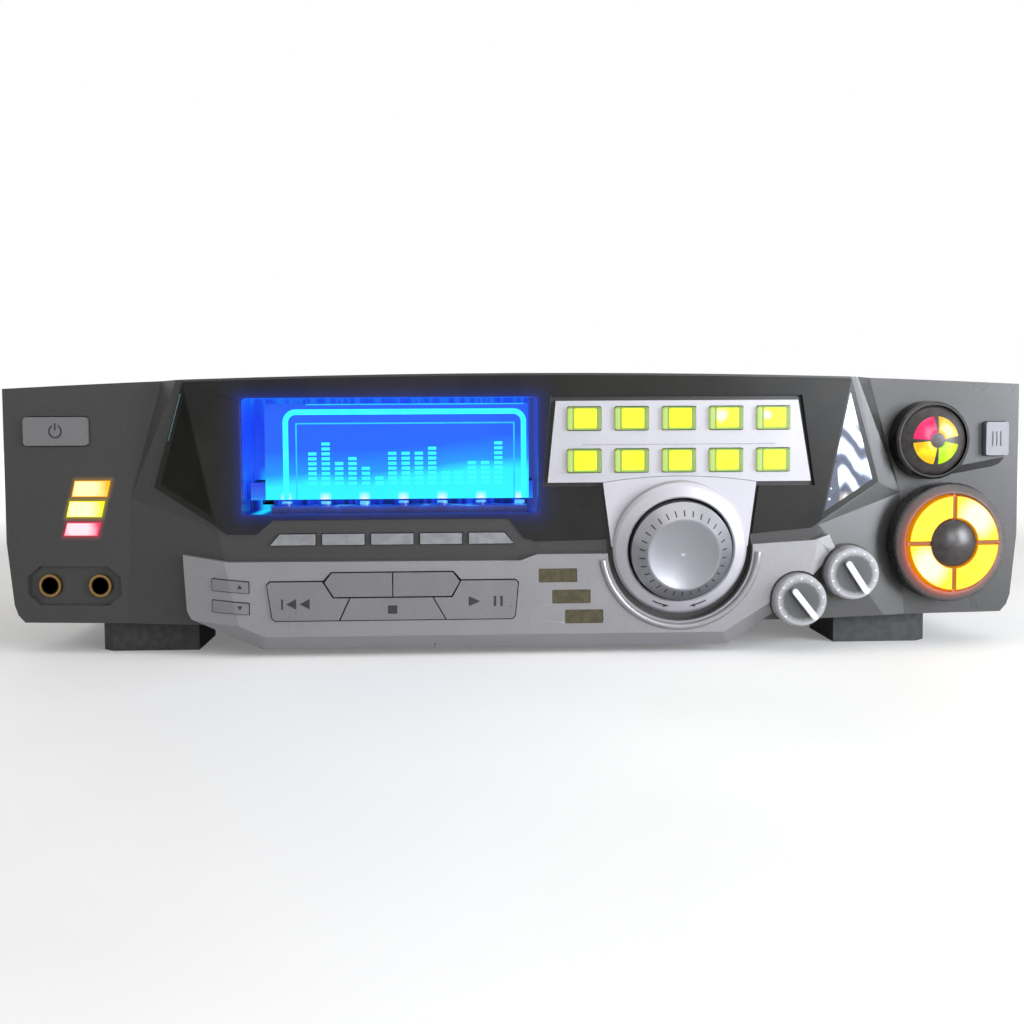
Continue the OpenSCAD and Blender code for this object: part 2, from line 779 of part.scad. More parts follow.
module bay_frame() color("#101018") {
  t = 2;
  difference() {
    translate([bay_x - t, skin_t, bay_z - t]) cube([bay_w + 2 * t, bay_d + t - skin_t, bay_h + 2 * t]);
    translate([bay_x, 0, bay_z]) cube([bay_w, bay_d, bay_h]);
    translate([tray_x - 0.8, 0, tray_z - 0.5]) cube([tray_w + 1.6, 60, tray_t + 1.1]);
    translate([rack_x - 0.6, 0, gear_z - 0.6]) cube([5.6, 60, 3]);
  }
}

module led_bar() color("#d8e6ff") {
  led_n = 7;
  translate([tray_x + 10, 7, bay_z]) cube([tray_w - 13, 13, 3]);
  for (i = [0:led_n - 1]) translate([tray_x + 16 + i * 17, 14, bay_z + 3]) cylinder(r = 2.2, h = 1.8);
}

module disc_tray() color("#2a2a30") {
  difference() {
    translate([tray_x, tray_front, tray_z]) cube([tray_w, tray_l, tray_t]);
    translate([tray_mid, well_y, tray_z + tray_t - well_d]) cylinder(r = well_r, h = well_d + 1, $fn = 160);
    translate([tray_mid, well_y, tray_z + tray_t - well_d - 1]) cylinder(r = 40.4, h = well_d, $fn = 128);
    translate([tray_mid, well_y, 0]) cylinder(r = slot_r, h = 200);
    translate([tray_mid - slot_r, well_y, 0]) cube([2 * slot_r, 56, 200]);
    for (s = [-1, 1]) translate([tray_mid + s * (tray_w / 2 + 6), well_y, 0]) cylinder(r = 16, h = 200);
  }
  translate([rack_x, gear_y - 4, gear_z]) cube([2.3, tray_front + tray_l - gear_y + 4, rack_h]);
  for (i = [0:rack_n - 1]) translate([0, gear_y + (i - 0.5) * PI * gear_module, gear_z])
    linear_extrude(rack_h) polygon([
      [rack_line - rack_root, -rack_half(-rack_root)], [rack_line + rack_tip, -rack_half(rack_tip)],
      [rack_line + rack_tip, rack_half(rack_tip)], [rack_line - rack_root, rack_half(-rack_root)]]);
}

module tray_front_plate() color("#7fc8ff") {
  translate([tray_x + 7, tray_front - plate_t, plate_z]) cube([tray_w - 9, plate_t, plate_h]);
}

module loading_gear() color("#e8e4d8") {
  translate([gear_x, gear_y, 0]) difference() {
    union() {
      translate([0, 0, gear_z]) cylinder(r = tooth_r[0] + 0.1, h = 2.3);
      for (i = [0:gear_teeth - 1]) rotate([0, 0, 180 + i * 360 / gear_teeth]) translate([0, 0, gear_z])
        linear_extrude(2.3) polygon(concat(
          [for (r = tooth_r) [r, -tooth_half(r)]],
          [for (k = [3:-1:0]) [tooth_r[k], tooth_half(tooth_r[k])]]));
      translate([0, 0, 57]) cylinder(r = 4, h = gear_z - 57);
    }
    translate([0, 0, 50]) cylinder(r = gear_post_r + 0.06, h = 20);
  }
}

module turntable() color("#3c3c40") {
  translate([tray_mid, well_y, 0]) {
    translate([0, 0, hub_z - 1.6]) cylinder(r = 14, h = 1.6);
    translate([0, 0, hub_z]) cylinder(r = 7.2, h = 1.2);
    translate([0, 0, hub_z - 9]) cylinder(r = spindle_r, h = 7.4);
  }
}

module optical_pickup() color("#55585f") {
  difference() {
    translate([tray_mid - 24, pickup_y, rod_z - 2.6]) cube([48, pickup_l, pickup_h]);
    for (s = [-1, 1]) translate([tray_mid + s * rod_dx, 0, rod_z])
      bar(rod_r + 0.06, pickup_y - 5, pickup_y + pickup_l + 5);
  }
  translate([tray_mid, lens_y, rod_z - 2.6 + pickup_h]) {
    cylinder(r = 5, h = 1);
    translate([0, 0, 1]) cylinder(r = 2.6, h = 0.7);
  }
}

module loader_frame() color("#3b3b40") {
  x0 = tray_x - 4;
  w = tray_w + 8;
  deck = loader_z + loader_t;
  leg = 12;
  difference() {
    union() {
      translate([x0, loader_y, loader_z]) cube([w, loader_l, loader_t]);
      for (x = [x0, x0 + w - loader_t]) translate([x, loader_y, loader_z])
        cube([loader_t, loader_l, loader_h]);
      for (x = [x0 + loader_t, x0 + w - loader_t - rail_w]) translate([x, loader_y, 0]) {
        translate([0, 0, tray_z - 0.3 - rail_t]) cube([rail_w, loader_l, rail_t]);
        translate([0, 0, tray_z + tray_t + 0.4]) cube([rail_w, loader_l, 2]);
      }
      translate([x0, well_y - 20, bridge_z]) cube([w, 40, 2.4]);
      for (x = [x0, x0 + w - leg], y = [loader_y + 8, loader_y + loader_l - 8 - leg])
        translate([x, y, floor_z + sheet]) cube([leg, leg, loader_z - floor_z - sheet]);
      translate([tray_mid, well_y, deck]) cylinder(r = 12, h = hub_z - 2.6 - deck);
      for (s = [-1, 1]) translate([tray_mid + s * rod_dx, 0, 0]) {
        translate([0, 0, rod_z]) bar(rod_r, 95, 162);
        translate([-3, 160, deck]) cube([6, 4, 10]);
        translate([-3, 94, deck]) cube([6, 2.5, 10]);
      }
      translate([gear_x, gear_y, deck]) {
        cylinder(r = 3, h = 3.6);
        cylinder(r = gear_post_r, h = 13.4);
        translate([12, 12, 0]) cylinder(r = 8, h = 8);
      }
    }
    translate([tray_mid, well_y, deck + 1]) cylinder(r = spindle_r + 0.05, h = 20);
    translate([tray_mid, well_y, bridge_z - 0.6]) cylinder(r = 14, h = 5);
  }
}

module front_board() color("#2f6b3c") {
  back = board_y + board_t;
  difference() {
    slab(board_y, back) polygon([
      [-122, 16.6], [149, 16.6], [149, 46], [112, 57.4], [114, 111], [13, 111], [13, 57.4], [-122, 57.4]]);
    on_dial() translate([0, 0, -30]) cylinder(r = shaft_r + 0.6, h = 30);
    for (at = [knob_low, knob_up]) translate([at.x, 0, at.z]) bar(shaft_r + 0.6, 5, 20);
  }
  points = concat(
    [for (i = [0:9]) lamp_at(i)],
    [for (i = [0:4]) tone_at(i)],
    [cancel_at, memory_at, rewind_at, stop_at, play_at, pitch_up_at, pitch_down_at]);
  for (p = points) translate([p.x, 0, p.y]) {
    translate([-2.5, switch_top_y + 0.9, -3]) cube([5, board_y - switch_top_y - 0.9, 6]);
    bar(1.6, switch_top_y, switch_top_y + 0.9);
  }
  on_dial() difference() {
    translate([0, 0, -24]) cylinder(r = 7, h = 9);
    translate([0, 0, -21]) cylinder(r = shaft_r + 0.05, h = 12);
  }
  for (at = [knob_low, knob_up]) translate([at.x, 0, at.z]) difference() {
    bar(pot_r, back, 22);
    bar(shaft_r + 0.05, 5, 19);
  }
}

module main_board() color("#2c5f38") {
  top = board_z + board_t;
  translate([24, 70, board_z]) cube([170, 190, board_t]);
  for (i = [0:3]) translate([44 + i * 36, 120 + (i % 2) * 40, top]) cube([22, 22, 2.4]);
  for (i = [0:7]) translate([40 + i * 18, 226, top]) cylinder(r = 5, h = 14);
  for (i = [0:4]) translate([40 + i * 20, 76, top]) cube([14, 6, 8]);
  translate([150, 90, top]) {
    cube([30, 60, 3]);
    for (i = [0:6]) translate([i * 4.5, 0, 3]) cube([1.6, 60, 24]);
  }
}

module power_supply() color("#a08a50") {
  translate([-196, 200, floor_z + sheet]) {
    cube([76, 90, 2]);
    translate([6, 16, 2]) cube([64, 20, 54]);
    translate([14, 6, 8]) cube([48, 40, 42]);
    translate([6, 52, 2]) cube([40, 30, 6]);
    for (i = [0:2]) translate([14 + i * 14, 67, 8]) cylinder(r = 5.5, h = 22);
  }
}

module bottom_chassis() color("#5c5f63") {
  w = case_half - sheet - 0.8;
  len_y = rear_y - sheet - fascia_d;
  difference() {
    union() {
      translate([-w, fascia_d, floor_z]) cube([2 * w, len_y, sheet]);
      for (x = [-w, w - sheet]) translate([x, fascia_d, floor_z]) cube([sheet, len_y, 14]);
      for (x = [30, 188], y = [76, 160, 254]) translate([x, y, floor_z + sheet])
        cylinder(r = 3, h = board_z - floor_z - sheet);
    }
    for (i = [-4:4], y = [130, 170]) translate([i * 12 + 60, y, 0]) cube([4, 26, 40], center = true);
    side_screw_holes(screw_r + 0.05);
  }
}

// Holes across the case's sides for the screws that hold the cover
module side_screw_holes(r) {
  for (s = [-1, 1], y = side_screw_y) translate([s * (case_half - 3), y, side_screw_z])
    rotate([0, 90, 0]) cylinder(r = r, h = 12, center = true);
}

module top_cover() color("#4b4d52") {
  y0 = fascia_d + 0.3;
  len_y = rear_y - y0;
  cover_z = floor_z + sheet + 0.2;
  difference() {
    translate([-case_half, y0, cover_z]) cube([2 * case_half, len_y, case_top - cover_z]);
    translate([-case_half + sheet, y0 - 1, 0]) cube([2 * (case_half - sheet), len_y + 2, case_top - sheet]);
    for (i = [-9:9], y = [190, 232]) translate([i * 14, y, case_top]) cube([3, 32, 6], center = true);
    for (s = [-1, 1], i = [0:11]) translate([s * case_half, 150 + i * 9, 70]) cube([6, 3, 34], center = true);
    side_screw_holes(screw_r + 0.15);
  }
}

module rear_panel() color("#54575c") {
  w = case_half - sheet - 0.3;
  inner_y = rear_y - 5;
  outer_y = rear_y + 5;
  difference() {
    translate([-w, rear_y - sheet, floor_z]) cube([2 * w, sheet, case_top - sheet - 0.3 - floor_z]);
    for (p = rear_screws) translate([p.x, 0, p.y]) bar(screw_r + 0.15, inner_y, outer_y);
    for (x = rca_x) translate([x, 0, rca_z]) bar(rca_root_r + 0.1, inner_y, outer_y);
    translate([inlet_at.x, 0, inlet_at.y]) slab(inner_y, outer_y)
      rounded(inlet_size.x + 0.4, inlet_size.y + 0.4, 2);
    for (i = [-6:6]) translate([i * 8, rear_y, 40]) cube([3, 8, 24], center = true);
  }
}

module rear_sockets() color("#d8d8d4") {
  for (x = rca_x) translate([x, 0, rca_z]) difference() {
    union() {
      bar(rca_root_r, rear_y - sheet - 6, rear_y + 0.6);
      bar(rca_r, rear_y + 0.6, rear_end);
    }
    bar(1.6, rear_y - 2, rear_end + 1);
  }
  for (i = [0, 3]) translate([rca_x[i] - 8, rear_y - sheet - 14, rca_z - 9])
    cube([rca_x[i + 2] - rca_x[i] + 16, 8, 18]);
  translate([inlet_at.x, 0, inlet_at.y]) {
    difference() {
      union() {
        slab(rear_y - 18, rear_y + 0.6) rounded(inlet_size.x, inlet_size.y, 1.8);
        slab(rear_y, rear_y + 1.6) rounded(inlet_size.x + 4.4, inlet_size.y + 4.4, 2);
      }
      slab(rear_y - inlet_depth, rear_y + 3) rounded(inlet_size.x - 5.2, inlet_size.y - 5.2, 4);
    }
    for (s = [-1, 1]) translate([s * 4.2, 0, 0]) bar(1.15, rear_y - inlet_depth, rear_y - 2);
  }
}

module foot(w, d) linear_extrude(floor_z) polygon([[0, 0], [w - 5, 0], [w, 5], [w, d], [0, d]]);

module feet() color("#3e3e42") {
  for (s = [0, 1]) mirror([s, 0, 0]) {
    translate([142.8, 22, 0]) foot(43, 42);
    translate([150, 262, 0]) foot(40, 40);
  }
}

module screw() {
  cylinder(r1 = 3.2, r2 = 2.6, h = 1.9, $fn = 32);
  translate([0, 0, -5]) cylinder(r = screw_r, h = 5, $fn = 24);
}

module screws() color("#2b2b2e") {
  for (p = rear_screws) translate([p.x, rear_y, p.y]) rotate([-90, 0, 0]) screw();
  for (s = [-1, 1], y = side_screw_y) translate([s * case_half, y, side_screw_z])
    rotate([0, s * 90, 0]) screw();
}

module stand() translate([0, -origin_y, 0]) children();

stand() front_fascia();
stand() window_cover();
stand() lower_panel();
stand() key_panel();
stand() dial_flange();
stand() bay_frame();
stand() led_bar();
stand() legend_windows();
stand() indicator_lenses();
stand() mic_jacks();
stand() large_pod_housing();
stand() small_pod_housing();
stand() power_button();
stand() tone_button(0);  // tone_button_1
stand() tone_button(1);  // tone_button_2
stand() tone_button(2);  // tone_button_3
stand() tone_button(3);  // tone_button_4
stand() tone_button(4);  // tone_button_5
stand() cancel_button();
stand() memory_button();
stand() rewind_button();
stand() stop_button();
stand() play_button();
stand() pitch_button(true);  // pitch_up_button
stand() pitch_button(false);  // pitch_down_button
stand() lamp_key(0);  // lamp_key_1
stand() lamp_key(1);  // lamp_key_2
stand() lamp_key(2);  // lamp_key_3
stand() lamp_key(3);  // lamp_key_4
stand() lamp_key(4);  // lamp_key_5
stand() lamp_key(5);  // lamp_key_6
stand() lamp_key(6);  // lamp_key_7
stand() lamp_key(7);  // lamp_key_8
stand() lamp_key(8);  // lamp_key_9
stand() lamp_key(9);  // lamp_key_10
stand() jog_dial();
stand() knob_lower();
stand() knob_upper();
stand() pad_segment(0);  // pad_segment_1
stand() pad_segment(1);  // pad_segment_2
stand() pad_segment(2);  // pad_segment_3
stand() pad_segment(3);  // pad_segment_4
stand() pad_centre();
stand() small_pad_dome();
stand() side_button();
stand() disc_tray();
stand() tray_front_plate();
stand() turntable();
stand() loading_gear();
stand() optical_pickup();
stand() loader_frame();
stand() front_board();
stand() main_board();
stand() power_supply();
stand() bottom_chassis();
stand() top_cover();
stand() rear_panel();
stand() rear_sockets();
stand() feet();
stand() screws();
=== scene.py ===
import math

import bpy
from mathutils import Matrix, Vector
from mathutils.geometry import intersect_line_line


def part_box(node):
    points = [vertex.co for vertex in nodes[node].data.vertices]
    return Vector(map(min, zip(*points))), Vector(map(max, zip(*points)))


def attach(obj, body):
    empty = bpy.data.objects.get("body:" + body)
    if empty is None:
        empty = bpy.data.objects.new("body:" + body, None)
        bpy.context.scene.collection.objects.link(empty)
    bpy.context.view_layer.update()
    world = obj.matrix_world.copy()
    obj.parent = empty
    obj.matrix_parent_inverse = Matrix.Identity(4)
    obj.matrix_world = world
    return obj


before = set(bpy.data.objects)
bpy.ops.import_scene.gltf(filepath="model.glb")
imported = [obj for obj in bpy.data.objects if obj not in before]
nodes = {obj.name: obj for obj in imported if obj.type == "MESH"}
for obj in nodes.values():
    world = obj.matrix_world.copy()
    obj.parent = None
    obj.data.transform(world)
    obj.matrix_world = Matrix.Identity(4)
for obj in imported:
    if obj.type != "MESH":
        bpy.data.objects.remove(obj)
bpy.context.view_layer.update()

# Driving values, in millimetres and degrees, as in the part's own design frame
KEY_PANEL_PROUD = 2.5
SWEEP = 6.45
WING_SET_BACK = 10.0
WING_X0 = 154.0
DIAL_TILT = 9.0
DIAL = (68.5, -2.0, 45.8)
BIG_POD = (189.0, 46.4)
BIG_POD_SHOULDER = 8.4
PAD_FRONT = 13.2
SMALL_POD = (181.0, 91.5)
SMALL_DRUM_R = 17.5
DOME_BALL_R = 26.3
DOME_TOP = 12.4
JACKS = ((-206.4, 30.1), (-184.0, 30.1))
LINE_SOCKETS = (60, 78, 96, 130, 148, 166)
LINE_SOCKET_Z = 78
KNOBS = {"knob_lower": (120.0, -0.6, 23.2), "knob_upper": (143.2, 1.0, 34.4)}
KNOB_R = 11.6
KNOB_H = 9.6
KEY_FACE = -5.1
FACET = ((143.9, 118.3), (157.9, 73.2), (130.9, 57.0))
FACET_FOLD = ((144.6, 124.0), (129.96, 55.2))
FACET_TIP = (158.6, 72.8)
FACET_DEPTH = 7.5
COVER_PROUD = 1.0
MM = 0.001

# Width of the bay frame's rim, behind the cover
BAY_RIM = 3.0

# The slanted lenses of the left wing: centre x and z, width, height; their lean, face and colours
LENSES = ((-186.6, 72.7, 15.6, 6.9), (-189.2, 63.8, 15.4, 6.8), (-190.9, 55.0, 14.9, 5.8))
LENS_LEAN = 0.8
LENS_FRONT = -0.7
LENS_SHADES = ((1.0, 0.42, 0.0), (1.0, 0.85, 0.0), (1.0, 0.03, 0.1))

# Inner and outer radius of the large pod's pads
PAD_R = (11.0, 20.7)

# Lamps of the light bar: distance apart, and height of their light above the bar's foot
LED_PITCH = 17.0
LED_LEVEL = 3.9
LED_FIRST = 6.0

# Distance from the bay's left side to the middle of the streak of light in it
STREAK_X = 8.0

# The flat front of the fascia, worked out from the key panel, which stands proud of it
FLAT_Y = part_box("key_panel")[0].y + KEY_PANEL_PROUD * MM


def wing_y(x):
    return WING_SET_BACK + (abs(x) - WING_X0) * math.tan(math.radians(SWEEP))


# Frames that turn millimetres on a face into metres in the scene; local -Y points out
FRONT = Matrix.Translation((0, FLAT_Y, 0)) @ Matrix.Scale(MM, 4)


def on_front(x, y, z):
    return FRONT @ Matrix.Translation((x, y, z))


def on_wing(x, z):
    turn = Matrix.Rotation(math.copysign(math.radians(SWEEP), x), 4, "Z")
    return FRONT @ Matrix.Translation((x, wing_y(x), z)) @ turn


def on_dial():
    """Frame of the dial: its local +Z points out of its face."""
    return FRONT @ Matrix.Translation(DIAL) @ Matrix.Rotation(math.radians(90 + DIAL_TILT), 4, "X")


# Materials: each starts as one shader with its constants on its own sockets. The helpers take
# the material whose nodes they add to, or the world
def shader(name, color, roughness, metallic=0.0, coat=0.0, specular=0.5):
    mat = bpy.data.materials.new(name)
    mat.use_nodes = True
    bsdf = mat.node_tree.nodes["Principled BSDF"]
    bsdf.inputs["Base Color"].default_value = (*color, 1)
    bsdf.inputs["Roughness"].default_value = roughness
    bsdf.inputs["Metallic"].default_value = metallic
    bsdf.inputs["Coat Weight"].default_value = coat
    bsdf.inputs["Coat Roughness"].default_value = 0.06
    bsdf.inputs["Specular IOR Level"].default_value = specular
    return mat


def principled(mat):
    return mat.node_tree.nodes["Principled BSDF"]


def add(mat, kind, **values):
    made = mat.node_tree.nodes.new(kind)
    for key, value in values.items():
        if key in made.inputs:
            made.inputs[key].default_value = value
        else:
            setattr(made, key, value)
    return made


def link(mat, source, target):
    mat.node_tree.links.new(source, target)


def object_coords(mat):
    found = mat.node_tree.nodes.get("Texture Coordinate") or add(mat, "ShaderNodeTexCoord")
    return found.outputs["Object"]


def noise(mat, scale, detail=3.0, stretch=(1, 1, 1)):
    mapping = add(mat, "ShaderNodeMapping", Scale=stretch)
    texture = add(mat, "ShaderNodeTexNoise", Scale=scale, Detail=detail)
    link(mat, object_coords(mat), mapping.inputs["Vector"])
    link(mat, mapping.outputs["Vector"], texture.inputs["Vector"])
    return texture.outputs["Fac"]


def ramp(mat, value, stops, interpolation="LINEAR"):
    made = add(mat, "ShaderNodeValToRGB")
    made.color_ramp.interpolation = interpolation
    elements = made.color_ramp.elements
    while len(elements) < len(stops):
        elements.new(1.0)
    for element, (place, color) in zip(elements, stops):
        element.position = place
        element.color = (*color, 1)
    link(mat, value, made.inputs["Fac"])
    return made.outputs["Color"]


def maths(mat, operation, a, b=None):
    made = add(mat, "ShaderNodeMath", operation=operation)
    for socket, value in zip(made.inputs, (a, b)):
        if isinstance(value, (int, float)):
            socket.default_value = value
        elif value is not None:
            link(mat, value, socket)
    return made.outputs["Value"]


def span(mat, value, low, high, to_low=0.0, to_high=1.0):
    made = add(mat, "ShaderNodeMapRange", **{"From Min": low, "From Max": high})
    made.inputs["To Min"].default_value = to_low
    made.inputs["To Max"].default_value = to_high
    link(mat, value, made.inputs["Value"])
    return made.outputs["Result"]


def axis(mat, letter):
    split = add(mat, "ShaderNodeSeparateXYZ")
    link(mat, object_coords(mat), split.inputs["Vector"])
    return split.outputs[letter]


def distance_to(mat, point):
    made = add(mat, "ShaderNodeVectorMath", operation="DISTANCE")
    link(mat, object_coords(mat), made.inputs[0])
    made.inputs[1].default_value = point
    return made.outputs["Value"]


def run_from(mat, place):
    run = add(mat, "ShaderNodeVectorMath", operation="SUBTRACT")
    link(mat, object_coords(mat), run.inputs[0])
    run.inputs[1].default_value = place.to_translation()
    return run.outputs["Vector"]


def off_axis(mat, place, way=(0, -1, 0)):
    """Distance in millimetres from the line through place along its local way."""
    cross = add(mat, "ShaderNodeVectorMath", operation="CROSS_PRODUCT")
    link(mat, run_from(mat, place), cross.inputs[0])
    cross.inputs[1].default_value = (place.to_3x3() @ Vector(way)).normalized()
    length = add(mat, "ShaderNodeVectorMath", operation="LENGTH")
    link(mat, cross.outputs["Vector"], length.inputs[0])
    return maths(mat, "MULTIPLY", length.outputs["Value"], 1 / MM)


def along(mat, place, way=(0, -1, 0)):
    """Height in millimetres above place along its local way."""
    dot = add(mat, "ShaderNodeVectorMath", operation="DOT_PRODUCT")
    link(mat, run_from(mat, place), dot.inputs[0])
    dot.inputs[1].default_value = (place.to_3x3() @ Vector(way)).normalized()
    return maths(mat, "MULTIPLY", dot.outputs["Value"], 1 / MM)


def nearest_axis(mat, places):
    """Distance in millimetres from the nearest of the lines through places."""
    near = off_axis(mat, places[0])
    for place in places[1:]:
        near = maths(mat, "MINIMUM", near, off_axis(mat, place))
    return near


def mix(mat, share, a, b):
    """Colour a where share is 0 and b where it is 1; each is a constant or a socket."""
    made = add(mat, "ShaderNodeMix", data_type="RGBA")
    link(mat, share, made.inputs[0])
    for socket, value in ((made.inputs[6], a), (made.inputs[7], b)):
        if isinstance(value, tuple):
            socket.default_value = (*value, 1)
        else:
            link(mat, value, socket)
    return made.outputs[2]


def paint(mat, color):
    link(mat, color, principled(mat).inputs["Base Color"])
    return mat


def mottle(mat, dark, light, scale, low=0.38, high=0.62, stretch=(1, 1, 1)):
    return paint(mat, ramp(mat, noise(mat, scale, 4.0, stretch), [(low, dark), (high, light)]))


def smudge(mat, low, high, scale=55.0):
    value = span(mat, noise(mat, scale, 5.0), 0.3, 0.7, low, high)
    link(mat, value, principled(mat).inputs["Roughness"])
    return mat


def grain(mat, scale, height, stretch=(1, 1, 1), detail=2.0):
    bump = add(mat, "ShaderNodeBump", Strength=1.0, Distance=height)
    link(mat, noise(mat, scale, detail, stretch), bump.inputs["Height"])
    link(mat, bump.outputs["Normal"], principled(mat).inputs["Normal"])
    return mat


def glow(mat, color, strength):
    """Makes mat give light: color is a constant or a socket."""
    bsdf = principled(mat)
    if isinstance(color, tuple):
        bsdf.inputs["Emission Color"].default_value = (*color, 1)
    else:
        link(mat, color, bsdf.inputs["Emission Color"])
    bsdf.inputs["Emission Strength"].default_value = strength
    return mat


def outside(mat, across, upright):
    """Distance from a rectangle, given how far a point lies past it each way."""
    across = maths(mat, "MAXIMUM", across, 0.0)
    upright = maths(mat, "MAXIMUM", upright, 0.0)
    square = maths(mat, "ADD", maths(mat, "POWER", across, 2), maths(mat, "POWER", upright, 2))
    return maths(mat, "SQRT", square)


def graphite():
    """Fine-grained grey paint, with a painted glow of the lit lenses' colours on it round them."""
    mat = shader("graphite_paint", (0.05, 0.05, 0.05), 0.34, 0.0, 0.0, 0.5)
    mottle(mat, (0.033, 0.032, 0.031), (0.052, 0.05, 0.049), 2300.0, 0.3, 0.7)
    smudge(mat, 0.27, 0.31)
    grain(mat, 4200.0, 0.000012)
    # Painted glow: each lens's light, painted as emission on the paint round it
    painted_glow = (0.0, 0.0, 0.0)
    reach = 2.6
    for (x, z, w, h), shade in zip(LENSES, LENS_SHADES):
        place = on_wing(x, z)
        rise = along(mat, place, (0, 0, 1))
        lean = maths(mat, "MULTIPLY", rise, 2 * LENS_LEAN / h)
        run = maths(mat, "SUBTRACT", along(mat, place, (1, 0, 0)), lean)
        across = maths(mat, "SUBTRACT", maths(mat, "ABSOLUTE", run), w / 2)
        upright = maths(mat, "SUBTRACT", maths(mat, "ABSOLUTE", rise), h / 2)
        near = span(mat, outside(mat, across, upright), 0.0, reach, 1.0, 0.0)
        painted_glow = mix(mat, maths(mat, "POWER", near, 2), painted_glow, tuple(0.32 * c for c in shade))
    return glow(mat, painted_glow, 0.8)


def beyond(mat, low, high):
    """Distance in metres, in X and Z, outside the box from low to high."""
    left = maths(mat, "SUBTRACT", low.x, axis(mat, "X"))
    right = maths(mat, "SUBTRACT", axis(mat, "X"), high.x)
    below = maths(mat, "SUBTRACT", low.z, axis(mat, "Z"))
    above = maths(mat, "SUBTRACT", axis(mat, "Z"), high.z)
    return outside(mat, maths(mat, "MAXIMUM", left, right), maths(mat, "MAXIMUM", below, above))


def gloss_black():
    """The gloss cover, with the bay's blue light round its opening."""
    mat = shader("gloss_black", (0.012, 0.011, 0.01), 0.25, 0.0, 0.0, 0.25)
    mottle(mat, (0.008, 0.008, 0.007), (0.016, 0.015, 0.013), 30.0)
    smudge(mat, 0.2, 0.3, 18.0)
    low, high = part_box("bay_frame")
    rim = Vector((BAY_RIM, 0, BAY_RIM)) * MM
    # Painted glow of the bay's blue light on the cover round its opening
    painted_glow = ramp(mat, span(mat, beyond(mat, low + rim, high - rim), 0.0, 0.012), [
        (0.0, (0.0, 0.02, 0.3)), (0.2, (0.0, 0.006, 0.09)), (0.5, (0.0, 0.001, 0.018)),
        (1.0, (0.0, 0.0, 0.0))])
    return glow(mat, painted_glow, 0.9)


def silver(name, dark, light, roughness=0.42, metallic=0.45):
    mat = shader(name, light, roughness, metallic, 0.12)
    mottle(mat, dark, light, 3600.0, 0.3, 0.7)
    smudge(mat, roughness - 0.05, roughness + 0.07)
    return grain(mat, 4200.0, 0.000006)


def turned(name, color, place):
    """Satin metal turned on a lathe: fine rings round the axis of place."""
    mat = shader(name, color, 0.3, 0.75, 0.1)
    rings = add(mat, "ShaderNodeTexNoise", Scale=2.6, Detail=2.0)
    combined = add(mat, "ShaderNodeCombineXYZ")
    link(mat, off_axis(mat, place, (0, 0, 1)), combined.inputs["X"])
    link(mat, combined.outputs["Vector"], rings.inputs["Vector"])
    paint(mat, ramp(mat, rings.outputs["Fac"], [(0.3, tuple(0.9 * c for c in color)), (0.7, color)]))
    bump = add(mat, "ShaderNodeBump", Strength=0.5, Distance=0.00001)
    link(mat, rings.outputs["Fac"], bump.inputs["Height"])
    link(mat, bump.outputs["Normal"], principled(mat).inputs["Normal"])
    return smudge(mat, 0.28, 0.4)


def plastic(name, dark, light, roughness=0.45, coat=0.0):
    mat = shader(name, light, roughness, 0.0, coat)
    mottle(mat, dark, light, 300.0)
    smudge(mat, roughness - 0.06, roughness + 0.08)
    return grain(mat, 2200.0, 0.00002)


def metal(name, dark, light, roughness=0.35, stretch=(1, 1, 1)):
    mat = shader(name, light, roughness, 0.9)
    mottle(mat, dark, light, 120.0, 0.3, 0.7, stretch)
    smudge(mat, roughness - 0.08, roughness + 0.1)
    return grain(mat, 1800.0, 0.00001, stretch)


def lit(name, color, core, strength, roughness=0.25):
    """Translucent plastic lit from behind, a little uneven."""
    mat = shader(name, tuple(0.3 * c for c in color), roughness, 0.0, 0.0, 0.4)
    shade = ramp(mat, noise(mat, 160.0, 2.0), [(0.35, color), (0.75, core)])
    smudge(mat, roughness - 0.08, roughness + 0.1)
    return glow(mat, shade, strength)


def hot_lit(name, color, hot, point, reach, strength):
    """Lit plastic with a white-hot spot round point, where its lamp is."""
    mat = shader(name, tuple(0.3 * c for c in color), 0.25, 0.0, 0.0, 0.4)
    wander = span(mat, noise(mat, 200.0), 0.3, 0.7, -0.0008, 0.0008)
    near = maths(mat, "ADD", distance_to(mat, point), wander)
    shade = ramp(mat, span(mat, near, 0.0, reach), [(0.0, hot), (0.45, hot), (1.0, color)])
    return glow(mat, shade, strength)


def cover(name, color, height=0.00006):
    """Painted sheet steel with the small pimples of its paint."""
    mat = shader(name, color, 0.5, 0.1)
    mottle(mat, tuple(0.8 * c for c in color), color, 400.0)
    smudge(mat, 0.42, 0.58, 20.0)
    return grain(mat, 1500.0, height)


